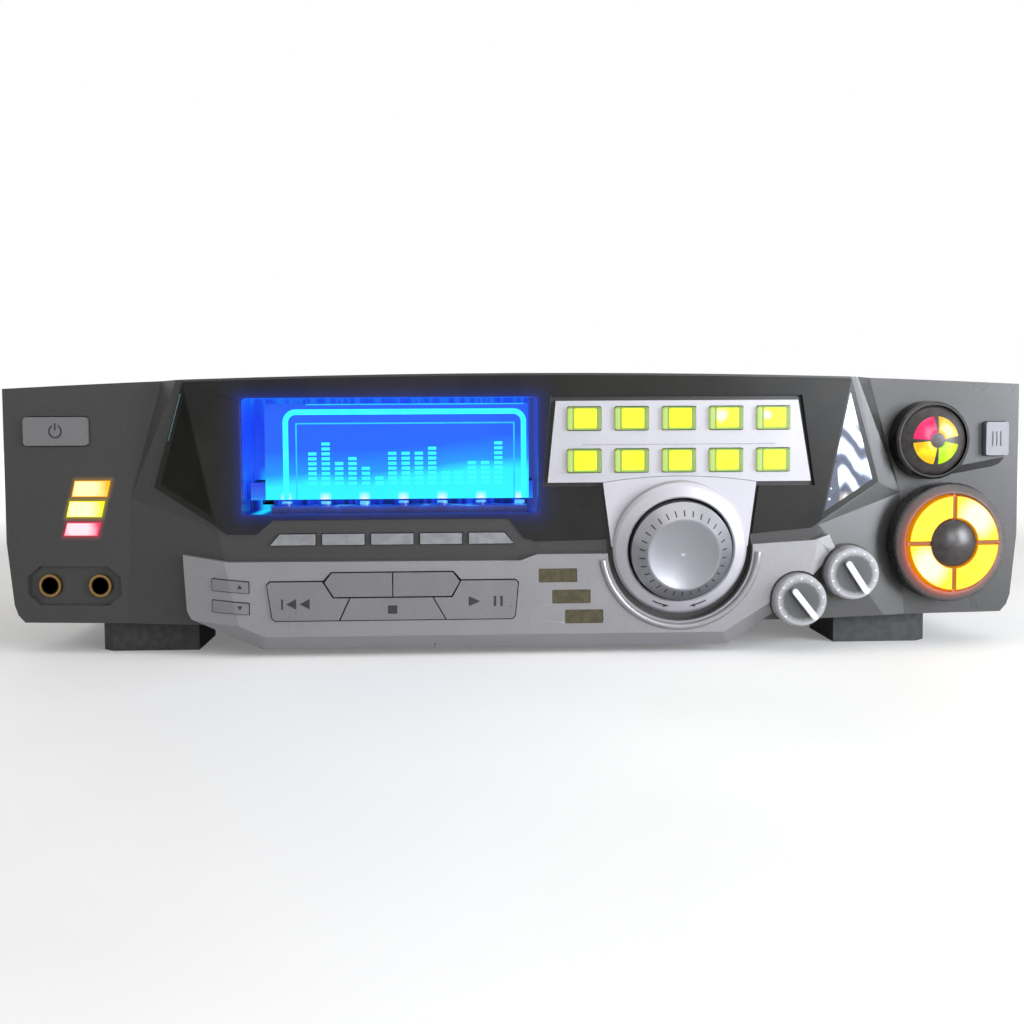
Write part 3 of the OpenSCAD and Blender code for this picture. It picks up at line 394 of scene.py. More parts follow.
def plate_glow():
    """The clear plate: blue at its top, cyan above the light bar, white over each lamp."""
    mat = shader("edge_lit_plate", (0.005, 0.03, 0.12), 0.2, 0.0, 0.0, 0.3)
    low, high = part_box("tray_front_plate")
    x, z = axis(mat, "X"), axis(mat, "Z")
    rise = span(mat, x, low.x + 0.3 * (high.x - low.x), high.x, 0.0, 0.0065)
    wander = span(mat, noise(mat, 45.0, 1.0), 0.3, 0.7, -0.0015, 0.0015)
    level = maths(mat, "SUBTRACT", maths(mat, "SUBTRACT", z, rise), wander)
    body = ramp(mat, span(mat, level, low.z, high.z), [
        (0.0, (0.02, 0.95, 1.0)), (0.15, (0.02, 0.9, 1.0)), (0.27, (0.008, 0.3, 1.0)),
        (0.5, (0.008, 0.11, 0.9)), (0.85, (0.01, 0.1, 0.9)), (1.0, (0.008, 0.09, 0.8))])
    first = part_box("led_bar")[0].x + LED_FIRST * MM
    phase = maths(mat, "MULTIPLY", maths(mat, "SUBTRACT", x, first), 2 * math.pi / (LED_PITCH * MM))
    peak = span(mat, maths(mat, "COSINE", phase), 0.55, 1.0)
    base = span(mat, z, low.z + 0.0034, low.z + 0.0002)
    spot = maths(mat, "MULTIPLY", peak, base)
    return glow(mat, mix(mat, spot, body, (0.85, 1.0, 1.0)), 0.96)


def bay_glow():
    """Gloss black bay whose walls pick up the blue light, in upright streaks."""
    mat = shader("lit_bay", (0.004, 0.008, 0.02), 0.3, 0.0, 0.0, 0.3)
    low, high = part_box("bay_frame")
    z = axis(mat, "Z")
    streak = span(mat, noise(mat, 420.0, 2.0, (1, 1, 0.02)), 0.4, 0.7, -0.1, 0.15)
    level = maths(mat, "ADD", span(mat, z, low.z, high.z), streak)
    shade = ramp(mat, level, [
        (0.0, (0.002, 0.012, 0.16)), (0.12, (0.004, 0.03, 0.55)), (0.3, (0.012, 0.09, 0.95)),
        (0.7, (0.006, 0.045, 0.85)), (0.9, (0.008, 0.08, 0.88)), (1.0, (0.012, 0.16, 0.92))])
    # Painted shade: the right wall darker navy
    right = span(mat, axis(mat, "X"), high.x - 0.006, high.x - 0.003)
    shade = mix(mat, right, shade, (0.03, 0.05, 0.28))
    # Painted light: a cyan streak low on the left wall
    below = span(mat, z, low.z + 0.022, low.z + 0.012)
    middle = maths(mat, "ABSOLUTE", maths(mat, "SUBTRACT", axis(mat, "X"), low.x + STREAK_X * MM))
    streak = maths(mat, "MULTIPLY", below, span(mat, middle, 0.0035, 0.001))
    return glow(mat, mix(mat, streak, shade, (0.01, 0.6, 1.0)), 0.95)


def sill_glow():
    """Light bar: a dark blue sill with a painted blue glow that rises towards the lamps, and the lamps
    on it alight.
    """
    mat = shader("light_bar", (0.01, 0.012, 0.05), 0.3, 0.0, 0.0, 0.5)
    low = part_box("led_bar")[0]
    streak = span(mat, noise(mat, 130.0, 3.0, (1, 1, 0.3)), 0.35, 0.65, -0.0006, 0.0006)
    level = maths(mat, "ADD", axis(mat, "Z"), streak)
    shade = ramp(mat, span(mat, level, low.z, low.z + LED_LEVEL * MM), [
        (0.0, (0.0, 0.004, 0.06)), (0.4, (0.008, 0.018, 0.13)), (0.8, (0.005, 0.04, 0.5)),
        (1.0, (0.1, 0.55, 1.0))])
    return glow(mat, shade, 1.0)


def tray_black():
    """Moulded tray; its front lip picks up the bay's light, cyan low down."""
    mat = plastic("tray_black", (0.012, 0.012, 0.013), (0.028, 0.028, 0.03))
    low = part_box("disc_tray")[0]
    up = ramp(mat, span(mat, axis(mat, "Z"), low.z, low.z + 0.009), [
        (0.0, (0.01, 0.5, 1.0)), (0.5, (0.01, 0.16, 0.95)), (1.0, (0.01, 0.06, 0.85))])
    front = span(mat, axis(mat, "Y"), low.y + 0.004, low.y + 0.001)
    return glow(mat, mix(mat, front, (0.0, 0.0, 0.0), up), 0.9)


def loader_black():
    """Moulded loader; what shows through the bay's slots picks up its blue light."""
    mat = plastic("loader_black", (0.012, 0.012, 0.013), (0.028, 0.028, 0.03))
    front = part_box("loader_frame")[0].y
    shade = ramp(mat, span(mat, axis(mat, "Y"), front, front + 0.03), [
        (0.0, (0.0, 0.03, 0.45)), (0.5, (0.0, 0.01, 0.15)), (1.0, (0.0, 0.0, 0.0))])
    return glow(mat, shade, 0.9)


def lamp_wall(name, low, high):
    """Clear cap of a lit key: its left wall painted pale as lit, painted shade at the right, thin dark
    lines of painted shade at its gaps, and painted shade at its top and bottom ends.
    """
    mat = shader(name, (0.16, 0.22, 0.06), 0.2, 0.0, 0.0, 0.5)
    # Painted light and shade across the cap: pale lit left wall, dark lines of shade at the gaps,
    # shade at the right
    across = ramp(mat, span(mat, axis(mat, "X"), low.x, high.x), [
        (0.0, (0.42, 0.55, 0.14)), (0.12, (0.5, 0.68, 0.16)), (0.15, (0.1, 0.18, 0.02)),
        (0.2, (0.3, 0.55, 0.04)), (0.84, (0.24, 0.42, 0.03)), (0.88, (0.1, 0.17, 0.03)),
        (1.0, (0.2, 0.26, 0.09))])
    up = span(mat, axis(mat, "Z"), low.z, high.z)
    # Painted shade at the cap's top and bottom ends
    painted_end_shade = ramp(mat, up, [
        (0.0, (0.35, 0.4, 0.3)), (0.08, (1.0, 1.0, 1.0)), (0.9, (1.0, 1.0, 1.0)),
        (0.97, (0.3, 0.36, 0.2))])
    shade = add(mat, "ShaderNodeMix", data_type="RGBA", blend_type="MULTIPLY")
    shade.inputs[0].default_value = 1.0
    link(mat, across, shade.inputs[6])
    link(mat, painted_end_shade, shade.inputs[7])
    smudge(mat, 0.15, 0.3, 300.0)
    return glow(mat, shade.outputs[2], 0.75)


def painted_window_reflection():
    """Metallised film with a painted reflection of a bright window in waves, painted slate dark in its
    low corner.
    """
    mat = shader("painted_window_reflection", (0.9, 0.93, 1.0), 0.3, 0.2, 0.0, 0.4)
    low_x, low_z = FACET[2][0] * MM, FACET[2][1] * MM
    wander = noise(mat, 62.0, 2.0, (1, 1, 0.55))
    x, z = axis(mat, "X"), axis(mat, "Z")
    slope, band = 0.85, 0.0145
    waves, wave_height = 520.0, 0.003
    fold_lean = 0.213
    ripple = maths(mat, "SINE", maths(mat, "MULTIPLY", x, waves))
    sway = maths(mat, "MULTIPLY", ripple, wave_height)
    slant = maths(mat, "ADD", z, maths(mat, "MULTIPLY", x, slope))
    phase = maths(mat, "ADD", maths(mat, "ADD", slant, sway), maths(mat, "MULTIPLY", wander, 0.03))
    wave = maths(mat, "SINE", maths(mat, "MULTIPLY", phase, 2 * math.pi / band))
    # Painted reflection: dark and pale bands of the window
    painted_reflection_bands = ramp(mat, span(mat, wave, -1.0, 1.0), [
        (0.0, (0.03, 0.035, 0.06)), (0.2, (0.06, 0.07, 0.11)), (0.45, (0.3, 0.36, 0.42)),
        (0.85, (0.8, 0.82, 0.84))])
    # Painted reflection: tinted orange low down and pale at the top
    tinted = mix(mat, span(mat, z, low_z + 0.013, low_z + 0.004), painted_reflection_bands, (0.62, 0.42, 0.25))
    top = mix(mat, span(mat, z, 0.096, 0.106), tinted, (0.8, 0.82, 0.82))
    # Painted reflection: slate dark in the low corner
    run = maths(mat, "MULTIPLY", maths(mat, "SUBTRACT", z, low_z), fold_lean)
    inwards = maths(mat, "SUBTRACT", x, maths(mat, "ADD", run, low_x))
    reach = span(mat, z, 0.086, 0.069, 0.0, 0.0062)
    bent = maths(mat, "ADD", reach, span(mat, wander, 0.3, 0.7, -0.0012, 0.0012))
    dark = span(mat, maths(mat, "SUBTRACT", bent, inwards), -0.0003, 0.0003)
    paint(mat, mix(mat, dark, top, (0.045, 0.05, 0.075)))
    return smudge(mat, 0.24, 0.34, 90.0)


def dark_film():
    """The left film, painted near black: a painted reflection of the dark room it mirrors."""
    mat = shader("dark_film", (0.008, 0.01, 0.008), 0.2, 0.0, 0.0, 0.12)
    mottle(mat, (0.006, 0.008, 0.006), (0.011, 0.012, 0.01), 60.0)
    return smudge(mat, 0.16, 0.26)


def jack_gold():
    """Gold rings of the microphone jacks, painted dark down their bores as shade."""
    mat = shader("gold_plate", (0.5, 0.33, 0.12), 0.25, 1.0)
    near = nearest_axis(mat, [on_wing(*at) for at in JACKS])
    uneven = span(mat, noise(mat, 300.0, 4.0), 0.3, 0.7, -0.04, 0.04)
    # Painted shade: black down the bores
    shade = ramp(mat, span(mat, maths(mat, "ADD", near, uneven), 3.0, 5.2), [
        (0.0, (0.004, 0.003, 0.003)), (0.27, (0.004, 0.003, 0.003)), (0.33, (0.09, 0.05, 0.02)),
        (0.45, (0.12, 0.07, 0.03)), (0.55, (0.42, 0.27, 0.1)), (0.8, (0.3, 0.18, 0.06)),
        (0.9, (0.16, 0.1, 0.04))])
    paint(mat, shade)
    return smudge(mat, 0.2, 0.34, 200.0)


def socket_metal():
    """Nickel line sockets in their black holders, with the black mains inlet."""
    mat = shader("socket_metal", (0.5, 0.5, 0.5), 0.3, 1.0)
    places = [on_front(x, 0, LINE_SOCKET_Z) for x in LINE_SOCKETS]
    shell = span(mat, nearest_axis(mat, places), 4.6, 4.7, 1.0, 0.0)
    scuff = ramp(mat, noise(mat, 500.0, 4.0), [(0.35, (0.42, 0.42, 0.41)), (0.65, (0.6, 0.6, 0.58))])
    shade = mix(mat, shell, (0.02, 0.02, 0.021), scuff)
    plugs = ((0.8, 0.55, 0.02), (0.75, 0.75, 0.72), (0.55, 0.02, 0.02))
    metallic = shell
    for i, place in enumerate(places):
        core = span(mat, off_axis(mat, place), 3.15, 3.25, 1.0, 0.0)
        shade = mix(mat, core, shade, plugs[i % 3])
        metallic = maths(mat, "SUBTRACT", metallic, core)
    paint(mat, shade)
    link(mat, metallic, principled(mat).inputs["Metallic"])
    return smudge(mat, 0.25, 0.42, 200.0)


def knob_silver(name, at):
    """Satin knob: dished face painted dark as shade, inside a rim painted lighter as a highlight and
    darker at its outer edge, with a pointer bar painted bright as a highlight.
    """
    mat = shader(name, (0.3, 0.3, 0.31), 0.34, 0.3)
    place = on_front(*at)
    radius = off_axis(mat, place)
    height = along(mat, place)
    uneven = span(mat, noise(mat, 700.0, 3.0), 0.3, 0.7, -0.25, 0.25)
    # Painted shade on the dished face, painted highlight on the rim
    face = ramp(mat, span(mat, maths(mat, "ADD", radius, uneven), 0.0, 12.0), [
        (0.0, (0.06, 0.06, 0.064)), (0.62, (0.09, 0.09, 0.094)), (0.72, (0.26, 0.26, 0.27)),
        (0.96, (0.5, 0.5, 0.53)), (1.0, (0.12, 0.12, 0.13))])
    # Painted highlight: the pointer bar, which stands above the face, painted bright
    paint(mat, mix(mat, span(mat, height, KNOB_H + 0.3, KNOB_H + 1.2), face, (0.62, 0.62, 0.64)))
    smudge(mat, 0.3, 0.42)
    return grain(mat, 3200.0, 0.00001)


def pod_ring():
    """Black wall under a grey cone; the inside and the cross pick up the orange light."""
    mat = shader("pod_ring", (0.02, 0.02, 0.02), 0.25, 0.0, 0.0, 0.5)
    place = on_wing(*BIG_POD)
    radius, height = off_axis(mat, place), along(mat, place)
    uneven = span(mat, noise(mat, 900.0, 3.0), 0.3, 0.7, -0.3, 0.3)
    worn = maths(mat, "ADD", height, uneven)
    cone = span(mat, worn, BIG_POD_SHOULDER - 0.2, BIG_POD_SHOULDER + 1.6)
    # The inside is painted orange-brown by the pads' light as well
    inner = span(mat, radius, 21.0, 21.5, 1.0, 0.0)
    outer = mix(mat, cone, (0.009, 0.009, 0.009), (0.075, 0.07, 0.069))
    paint(mat, mix(mat, inner, outer, (0.06, 0.02, 0.0)))
    smudge(mat, 0.2, 0.34, 120.0)
    # Painted glow of the pads' orange light, strongest towards the low left
    painted_glow_centre = place @ Vector((-9.0, -PAD_FRONT, -9.0))
    toward = span(mat, distance_to(mat, painted_glow_centre), 0.008, 0.034, 1.0, 0.12)
    painted_glow = ramp(mat, span(mat, radius, 9.0, 25.5), [
        (0.0, (0.3, 0.075, 0.0)), (0.68, (0.32, 0.08, 0.0)), (0.72, (0.75, 0.16, 0.0)),
        (0.8, (0.6, 0.07, 0.0)), (0.9, (0.16, 0.015, 0.002)), (1.0, (0.0, 0.0, 0.0))])
    glow(mat, painted_glow, 1.0)
    link(mat, maths(mat, "MAXIMUM", toward, inner), principled(mat).inputs["Emission Strength"])
    return mat


def small_pod():
    """Gloss black drum on a satin grey tail."""
    mat = shader("small_pod", (0.02, 0.02, 0.02), 0.22, 0.0, 0.0, 0.5)
    place = on_wing(*SMALL_POD)
    drum = span(mat, off_axis(mat, place), SMALL_DRUM_R + 0.03, SMALL_DRUM_R + 0.12, 1.0, 0.0)
    speck = noise(mat, 2300.0, 4.0)
    grey = ramp(mat, speck, [(0.3, (0.035, 0.034, 0.036)), (0.7, (0.056, 0.055, 0.06))])
    paint(mat, mix(mat, drum, grey, (0.008, 0.008, 0.008)))
    link(mat, span(mat, drum, 0.0, 1.0, 0.42, 0.2), principled(mat).inputs["Roughness"])
    return mat


def printed(name, color):
    mat = shader(name, color, 0.5)
    mottle(mat, tuple(0.75 * c for c in color), color, 900.0)
    return mat


LOOKS = {
    "graphite": graphite(),
    "gloss": gloss_black(),
    "silver": silver("satin_silver", (0.25, 0.244, 0.255), (0.31, 0.303, 0.315), 0.32, 0.55),
    "pale": silver("pale_silver", (0.44, 0.427, 0.46), (0.52, 0.505, 0.545), 0.4, 0.25),
    "key": silver("key_silver", (0.19, 0.187, 0.195), (0.25, 0.246, 0.255), 0.32, 0.5),
    "grey_key": silver("grey_key", (0.16, 0.155, 0.16), (0.21, 0.205, 0.21), 0.4, 0.3),
    "side_key": silver("side_key", (0.16, 0.16, 0.175), (0.205, 0.205, 0.22), 0.44, 0.15),
    "tone": plastic("tone_grey", (0.2, 0.2, 0.21), (0.25, 0.25, 0.26), 0.4),
    "dial": turned("turned_dial", (0.34, 0.34, 0.37), on_dial()),
    "core": lit("lamp_core", (0.9, 1.0, 0.02), (1.0, 1.0, 0.05), 0.95),
    "dome": plastic("smoked_dome", (0.02, 0.015, 0.015), (0.034, 0.028, 0.027), 0.3),
    "olive": plastic("olive_window", (0.045, 0.037, 0.015), (0.075, 0.062, 0.028), 0.3, 0.1),
    "bay": bay_glow(),
    "led": sill_glow(),
    "plate": plate_glow(),
    "tray": tray_black(),
    "loader": loader_black(),
    "black": plastic("black_plastic", (0.012, 0.012, 0.013), (0.028, 0.028, 0.03)),
    "nylon": plastic("gear_nylon", (0.6, 0.57, 0.48), (0.75, 0.73, 0.64)),
    "cast": metal("cast_metal", (0.25, 0.26, 0.28), (0.4, 0.41, 0.43), 0.45),
    "board": plastic("board_green", (0.012, 0.09, 0.03), (0.02, 0.16, 0.055), 0.3, 0.3),
    "winding": metal("lacquered_winding", (0.22, 0.1, 0.03), (0.4, 0.2, 0.07), 0.4, (1, 1, 12)),
    "zinc": metal("zinc_plate", (0.38, 0.39, 0.4), (0.55, 0.56, 0.58), 0.36),
    "case": cover("case_paint", (0.05, 0.051, 0.055)),
    "foot": plastic("foot_plastic", (0.02, 0.02, 0.02), (0.035, 0.035, 0.036), 0.5),
    "screw": metal("screw_black", (0.03, 0.03, 0.032), (0.08, 0.08, 0.085)),
    "ink": printed("black_print", (0.02, 0.02, 0.022)),
    "violet_ink": printed("violet_print", (0.3, 0.27, 0.36)),
    "dot": printed("pale_dot", (0.66, 0.66, 0.68)),
    "film_right": painted_window_reflection(),
    "film_left": dark_film(),
    # Painted highlight for the left film's edge
    "teal": printed("painted_teal_highlight", (0.09, 0.17, 0.2)),
    "jacks": jack_gold(),
    "sockets": socket_metal(),
}

CAD_LOOKS = {
    "graphite": ["front_fascia"],
    "gloss": ["window_cover"],
    "silver": ["lower_panel"],
    "pale": ["key_panel", "dial_flange"],
    "key": ["rewind_button", "stop_button", "play_button", "pitch_up_button", "pitch_down_button"],
    "grey_key": ["cancel_button", "memory_button", "power_button"],
    "side_key": ["side_button"],
    "tone": [f"tone_button_{i}" for i in range(1, 6)],
    "dial": ["jog_dial"],
    "dome": ["pad_centre", "small_pad_dome"],
    "olive": ["legend_windows"],
    "bay": ["bay_frame"],
    "led": ["led_bar"],
    "plate": ["tray_front_plate"],
    "tray": ["disc_tray"],
    "loader": ["loader_frame"],
    "black": ["turntable"],
    "nylon": ["loading_gear"],
    "cast": ["optical_pickup"],
    "board": ["front_board", "main_board"],
    "winding": ["power_supply"],
    "jacks": ["mic_jacks"],
    "sockets": ["rear_sockets"],
    "zinc": ["bottom_chassis"],
    "case": ["top_cover", "rear_panel"],
    "foot": ["feet"],
    "screw": ["screws"],
}


def wear(node, mat):
    for slot in nodes[node].material_slots:
        slot.material = mat


for look, members in CAD_LOOKS.items():
    for member in members:
        wear(member, LOOKS[look])


# Radii, in millimetres, of the moulded edges
EDGES = {"window_cover": 0.45, "lower_panel": 0.6}
EDGES.update({f"{name}_button": 0.35 for name in ("cancel", "memory", "rewind", "stop", "play")})
EDGES.update({f"tone_button_{i}": 0.3 for i in range(1, 6)})
EDGES.update({"power_button": 0.3, "side_button": 0.25})


def round_edges(node, width):
    """Softens a CAD node's edges with modifiers, which leave its mesh as it is."""
    obj = nodes[node]
    weld = obj.modifiers.new("weld", "WELD")
    weld.merge_threshold = 0.000002
    bevel = obj.modifiers.new("edge", "BEVEL")
    bevel.width = width * MM
    bevel.segments = 2
    bevel.limit_method = "ANGLE"
    bevel.angle_limit = math.radians(35)


# Mesh pieces: outlines lie in a face's X and Z, and depth runs along its Y
def mesh_piece(name, points, faces, place, mat, body, bevel=0.0, smooth=False):
    mesh = bpy.data.meshes.new(name)
    mesh.from_pydata([place @ Vector(p) for p in points], [], faces)
    mesh.validate()
    piece = bpy.data.objects.new(name, mesh)
    bpy.context.scene.collection.objects.link(piece)
    piece.data.materials.append(mat)
    if smooth:
        for polygon in mesh.polygons:
            polygon.use_smooth = True
    if bevel:
        modifier = piece.modifiers.new("edge", "BEVEL")
        modifier.width = bevel * MM
        modifier.segments = 3
        modifier.limit_method = "ANGLE"
        modifier.angle_limit = math.radians(30)
    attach(piece, body)
    return piece


def turns_left(outline):
    """True where an outline's signed area is positive."""
    following = outline[1:] + outline[:1]
    return sum(a[0] * b[1] - b[0] * a[1] for a, b in zip(outline, following)) > 0


def walls(start, n):
    """Quads between a ring of n points that begins at start and the ring after it."""
    return [[start + i, start + n + i, start + n + (i + 1) % n, start + (i + 1) % n] for i in range(n)]


def prism(name, outlines, front, back, place, mat, body, bevel=0.0):
    """One piece of several outlines, each made solid from y = front to y = back."""
    points, faces = [], []
    for outline in outlines:
        start, n = len(points), len(outline)
        ring = outline if turns_left(outline) else outline[::-1]
        points += [(x, front, z) for x, z in ring] + [(x, back, z) for x, z in ring]
        faces.append([start + i for i in range(n)])
        faces.append([start + n + i for i in reversed(range(n))])
        faces += walls(start, n)
    return mesh_piece(name, points, faces, place, mat, body, bevel)


def box_outline(x, z, w, h, lean=0.0):
    return [(x - w / 2 - lean, z - h / 2), (x + w / 2 - lean, z - h / 2),
            (x + w / 2 + lean, z + h / 2), (x - w / 2 + lean, z + h / 2)]


def round_outline(x, z, w, h, r, steps=6):
    outline = []
    for cx, cz, start in ((w / 2 - r, h / 2 - r, 0), (r - w / 2, h / 2 - r, 90),
                          (r - w / 2, r - h / 2, 180), (w / 2 - r, r - h / 2, 270)):
        for i in range(steps + 1):
            angle = math.radians(start + 90 * i / steps)
            outline.append((x + cx + r * math.cos(angle), z + cz + r * math.sin(angle)))
    return outline


def disc(x, z, r, steps=20):
    angles = [2 * math.pi * i / steps for i in range(steps)]
    return [(x + r * math.cos(a), z + r * math.sin(a)) for a in angles]


def arc_band(x, z, r0, r1, start, end, steps=24):
    """Band between radii r0 and r1; angles run clockwise from the top."""
    angles = [math.radians(start + (end - start) * i / steps) for i in range(steps + 1)]
    outer = [(x + r1 * math.sin(a), z + r1 * math.cos(a)) for a in angles]
    inner = [(x + r0 * math.sin(a), z + r0 * math.cos(a)) for a in reversed(angles)]
    return outer + inner


def lamp_cores():
    """The clear caps of the lit keys, and the bright block behind each."""
    hot_keys = {4: (1.9, 1.0, 0.0034), 5: (1.4, 1.2, 0.0026)}
    narrower, flatter, right, up = 4.6, 1.5, 0.35, 0.1
    for i in range(1, 11):
        node = f"lamp_key_{i}"
        low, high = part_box(node)
        wear(node, lamp_wall(f"lamp_cap_{i}", low, high))
        w, h = (high.x - low.x) / MM - narrower, (high.z - low.z) / MM - flatter
        x, z = (low.x + high.x) / 2 / MM + right, (low.z + high.z) / 2 / MM + up
        front = (low.y - FLAT_Y) / MM
        mat = LOOKS["core"]
        if i in hot_keys:
            from_left, above, reach = hot_keys[i]
            spot = FRONT @ Vector((x - w / 2 + from_left, front, z + above))
            mat = hot_lit(f"lamp_core_hot_{i}", (0.95, 1.0, 0.03), (1.0, 1.0, 0.85), spot, reach, 0.97)
        prism(f"lamp_core_{i}", [round_outline(x, z, w, h, 0.8)], front - 0.25, front + 1.0, FRONT,
              mat, node, 0.2)


def panel_rule():
    """Thin printed line between the two rows of lit keys."""
    first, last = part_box("lamp_key_1"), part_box("lamp_key_5")
    low_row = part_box("lamp_key_6")
    left = (first[0].x + first[1].x) / 2 / MM
    right = (last[0].x + last[1].x) / 2 / MM
    upper = (first[0].z + first[1].z) / 2 / MM
    lower = (low_row[0].z + low_row[1].z) / 2 / MM
    z = upper + 0.62 * (lower - upper)
    rule = box_outline((left + right) / 2, z, right - left + 2, 0.3)
    prism("panel_rule", [rule], -KEY_PANEL_PROUD - 0.04, -KEY_PANEL_PROUD + 0.3, FRONT,
          LOOKS["violet_ink"], "console")


def key_symbols():
    """Transport symbols, pitch arrows and the power mark: plain, generic shapes."""
    face = KEY_FACE - 0.06
    back = KEY_FACE + 0.3
    rewind = [[(-100.9, 23.5), (-96.6, 25.8), (-96.6, 21.2)],
              [(-95.2, 23.5), (-90.9, 25.8), (-90.9, 21.2)],
              box_outline(-102.6, 23.5, 0.8, 4.4)]
    stop = [box_outline(-55.6, 20.8, 4.0, 3.6)]
    play = [[(-23.0, 26.2), (-23.0, 21.8), (-18.0, 24.0)],
            box_outline(-11.7, 24.0, 1.1, 4.4),
            box_outline(-8.9, 24.0, 1.1, 4.4)]
    for name, mark in (("rewind", rewind), ("stop", stop), ("play", play)):
        prism(f"{name}_mark", mark, face, back, FRONT, LOOKS["ink"], f"{name}_button")
    for name, z, way in (("pitch_up", 31.2, 0.9), ("pitch_down", 22.0, -0.9)):
        triangle = [(-121.6, z - way), (-119.4, z - way), (-120.5, z + way)]
        prism(f"{name}_mark", [triangle], face + 0.12, back, FRONT, LOOKS["ink"],
              f"{name}_button")
    power = [arc_band(0, 0, 2.35, 3.05, 28, 332, 40), box_outline(0, 2.0, 0.7, 3.0)]
    prism("power_mark", power, -1.76, -1.4, on_wing(-201.3, 97.7), LOOKS["ink"],
          "power_button")


def dial_ticks():
    """Short ticks on the dial's cone, each lying along its slope."""
    count, inner_r, outer_r, half_width = 30, 16.6, 18.8, 0.26
    rim_r, rim_height = 16.1, 12.0
    base_r, base_height = 21.1, 6.8
    points, faces = [], []

    def height(r):
        return rim_height - (rim_height - base_height) * (r - rim_r) / (base_r - rim_r)

    for i in range(count):
        angle = 2 * math.pi * (i + 0.5) / count
        out = Vector((math.cos(angle), math.sin(angle), 0))
        side = Vector((-math.sin(angle), math.cos(angle), 0)) * half_width
        start = len(points)
        for lift in (0.1, -0.3):
            for r, s in ((inner_r, -1), (outer_r, -1), (outer_r, 1), (inner_r, 1)):
                points.append(out * r + side * s + Vector((0, 0, height(r) + lift)))
        faces += [[start + k for k in quad] for quad in
                  ((0, 1, 2, 3), (7, 6, 5, 4), (0, 4, 5, 1), (1, 5, 6, 2), (2, 6, 7, 3), (3, 7, 4, 0))]
    mesh_piece("dial_ticks", points, faces, on_dial(), LOOKS["ink"], "jog_dial")


def knob_dots():
    """Small pale dots round each level knob's face."""
    front = -KNOB_H - 0.1
    reach = KNOB_R - 2.0
    for node, at in KNOBS.items():
        wear(node, knob_silver(f"{node}_silver", at))
        turns = [math.radians(a) for a in range(-135, 136, 27)]
        dots = [disc(reach * math.sin(a), reach * math.cos(a), 0.5, 12) for a in turns]
        prism(f"{node}_dots", dots, front, front + 0.3, on_front(*at), LOOKS["dot"], node)


def etched_plate():
    """Rounded frame lines round a bar display, etched in the clear plate."""
    low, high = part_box("tray_front_plate")
    front = (low.y - FLAT_Y) / MM
    left, right = low.x / MM, high.x / MM
    bottom, top = low.z / MM, high.z / MM
    line = lit("etched_line", (0.02, 0.88, 1.0), (0.05, 1.0, 1.0), 0.97)
    thin = lit("etched_thin", (0.01, 0.45, 1.0), (0.02, 0.6, 1.0), 0.97)
    frame_l, frame_r, frame_t = left + 9, right - 2.2, top - 3.6
    corner, width = 4.5, 2.4
    arc_z, arc_in, arc_out = frame_t - corner, corner - width / 2, corner + width / 2
    thick = [
        box_outline(frame_l, (bottom + arc_z) / 2, width, arc_z - bottom),
        box_outline(frame_r, (bottom + arc_z) / 2, width, arc_z - bottom),
        box_outline((frame_l + frame_r) / 2, frame_t, frame_r - frame_l - 2 * corner, width),
        arc_band(frame_l + corner, arc_z, arc_in, arc_out, -90, 0, 10),
        arc_band(frame_r - corner, arc_z, arc_in, arc_out, 0, 90, 10)]
    prism("etched_frame", thick, front - 0.08, front + 0.2, FRONT, line, "tray")
    in_l, in_r, in_t = frame_l + 4.6, frame_r - 4.2, frame_t - 5
    inner = [box_outline(x, (bottom + in_t) / 2, 0.6, in_t - bottom) for x in (in_l, in_r)]
    inner.append(box_outline((in_l + in_r) / 2, in_t, in_r - in_l + 0.6, 0.6))
    prism("etched_inner_frame", inner, front - 0.08, front + 0.2, FRONT, thin, "tray")
    edge = box_outline((left + right) / 2 + 8, top - 0.35, right - left - 20, 0.5)
    prism("etched_top_edge", [edge], front - 0.06, front + 0.2, FRONT, thin, "tray")
    etched_bars(in_l, in_r, bottom, front, line)


def etched_bars(left, right, bottom, front, mat):
    """Columns of small blocks between left and right, each of its own height."""
    columns, block_h, block_pitch = 15, 1.3, 2.15
    margin, first_z = 4, bottom + 7
    pitch = (right - left - 2 * margin) / columns
    blocks = []
    for i in range(columns):
        x = left + margin + pitch * (i + 0.5)
        height = round(5.6 + 2.4 * math.sin(0.95 * i + 0.6) + 1.6 * math.sin(2.3 * i))
        levels = [first_z + block_pitch * k for k in range(height)]
        blocks += [box_outline(x, z, pitch * 0.62, block_h) for z in levels]
    prism("etched_bars", blocks, front - 0.08, front + 0.2, FRONT, mat, "tray")


def wing_lamps():
    """White-hot cores on the three slanted lenses of the left wing."""
    hots = ((1.0, 0.93, 0.5), (1.0, 1.0, 0.6), (1.0, 0.75, 0.8))
    border = 0.5
    for i, (x, z, w, h) in enumerate(LENSES):
        place = on_wing(x, z)
        spot = place @ Vector((-2.0, 0, 0))
        mat = hot_lit(f"bar_light_{i + 1}", LENS_SHADES[i], hots[i], spot, 0.0095, 1.1)
        outline = box_outline(0, 0, w - border, h - border, LENS_LEAN * (h - border) / h)
        prism(f"bar_lamp_{i + 1}", [outline], LENS_FRONT - 0.08, LENS_FRONT + 0.4, place, mat,
              "console", 0.15)
    wear("indicator_lenses", lens_edges())


def lens_edges():
    """What shows of the lenses round their cores, in each one's own colour."""
    mat = shader("lens_edges", (0.3, 0.1, 0.01), 0.3)
    low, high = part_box("indicator_lenses")
    shade = ramp(mat, span(mat, axis(mat, "Z"), low.z, high.z), [
        (0.0, LENS_SHADES[2]), (0.3, LENS_SHADES[1]), (0.69, LENS_SHADES[0])], "CONSTANT")
    paint(mat, shade)
    smudge(mat, 0.25, 0.4, 300.0)
    return glow(mat, shade, 0.55)


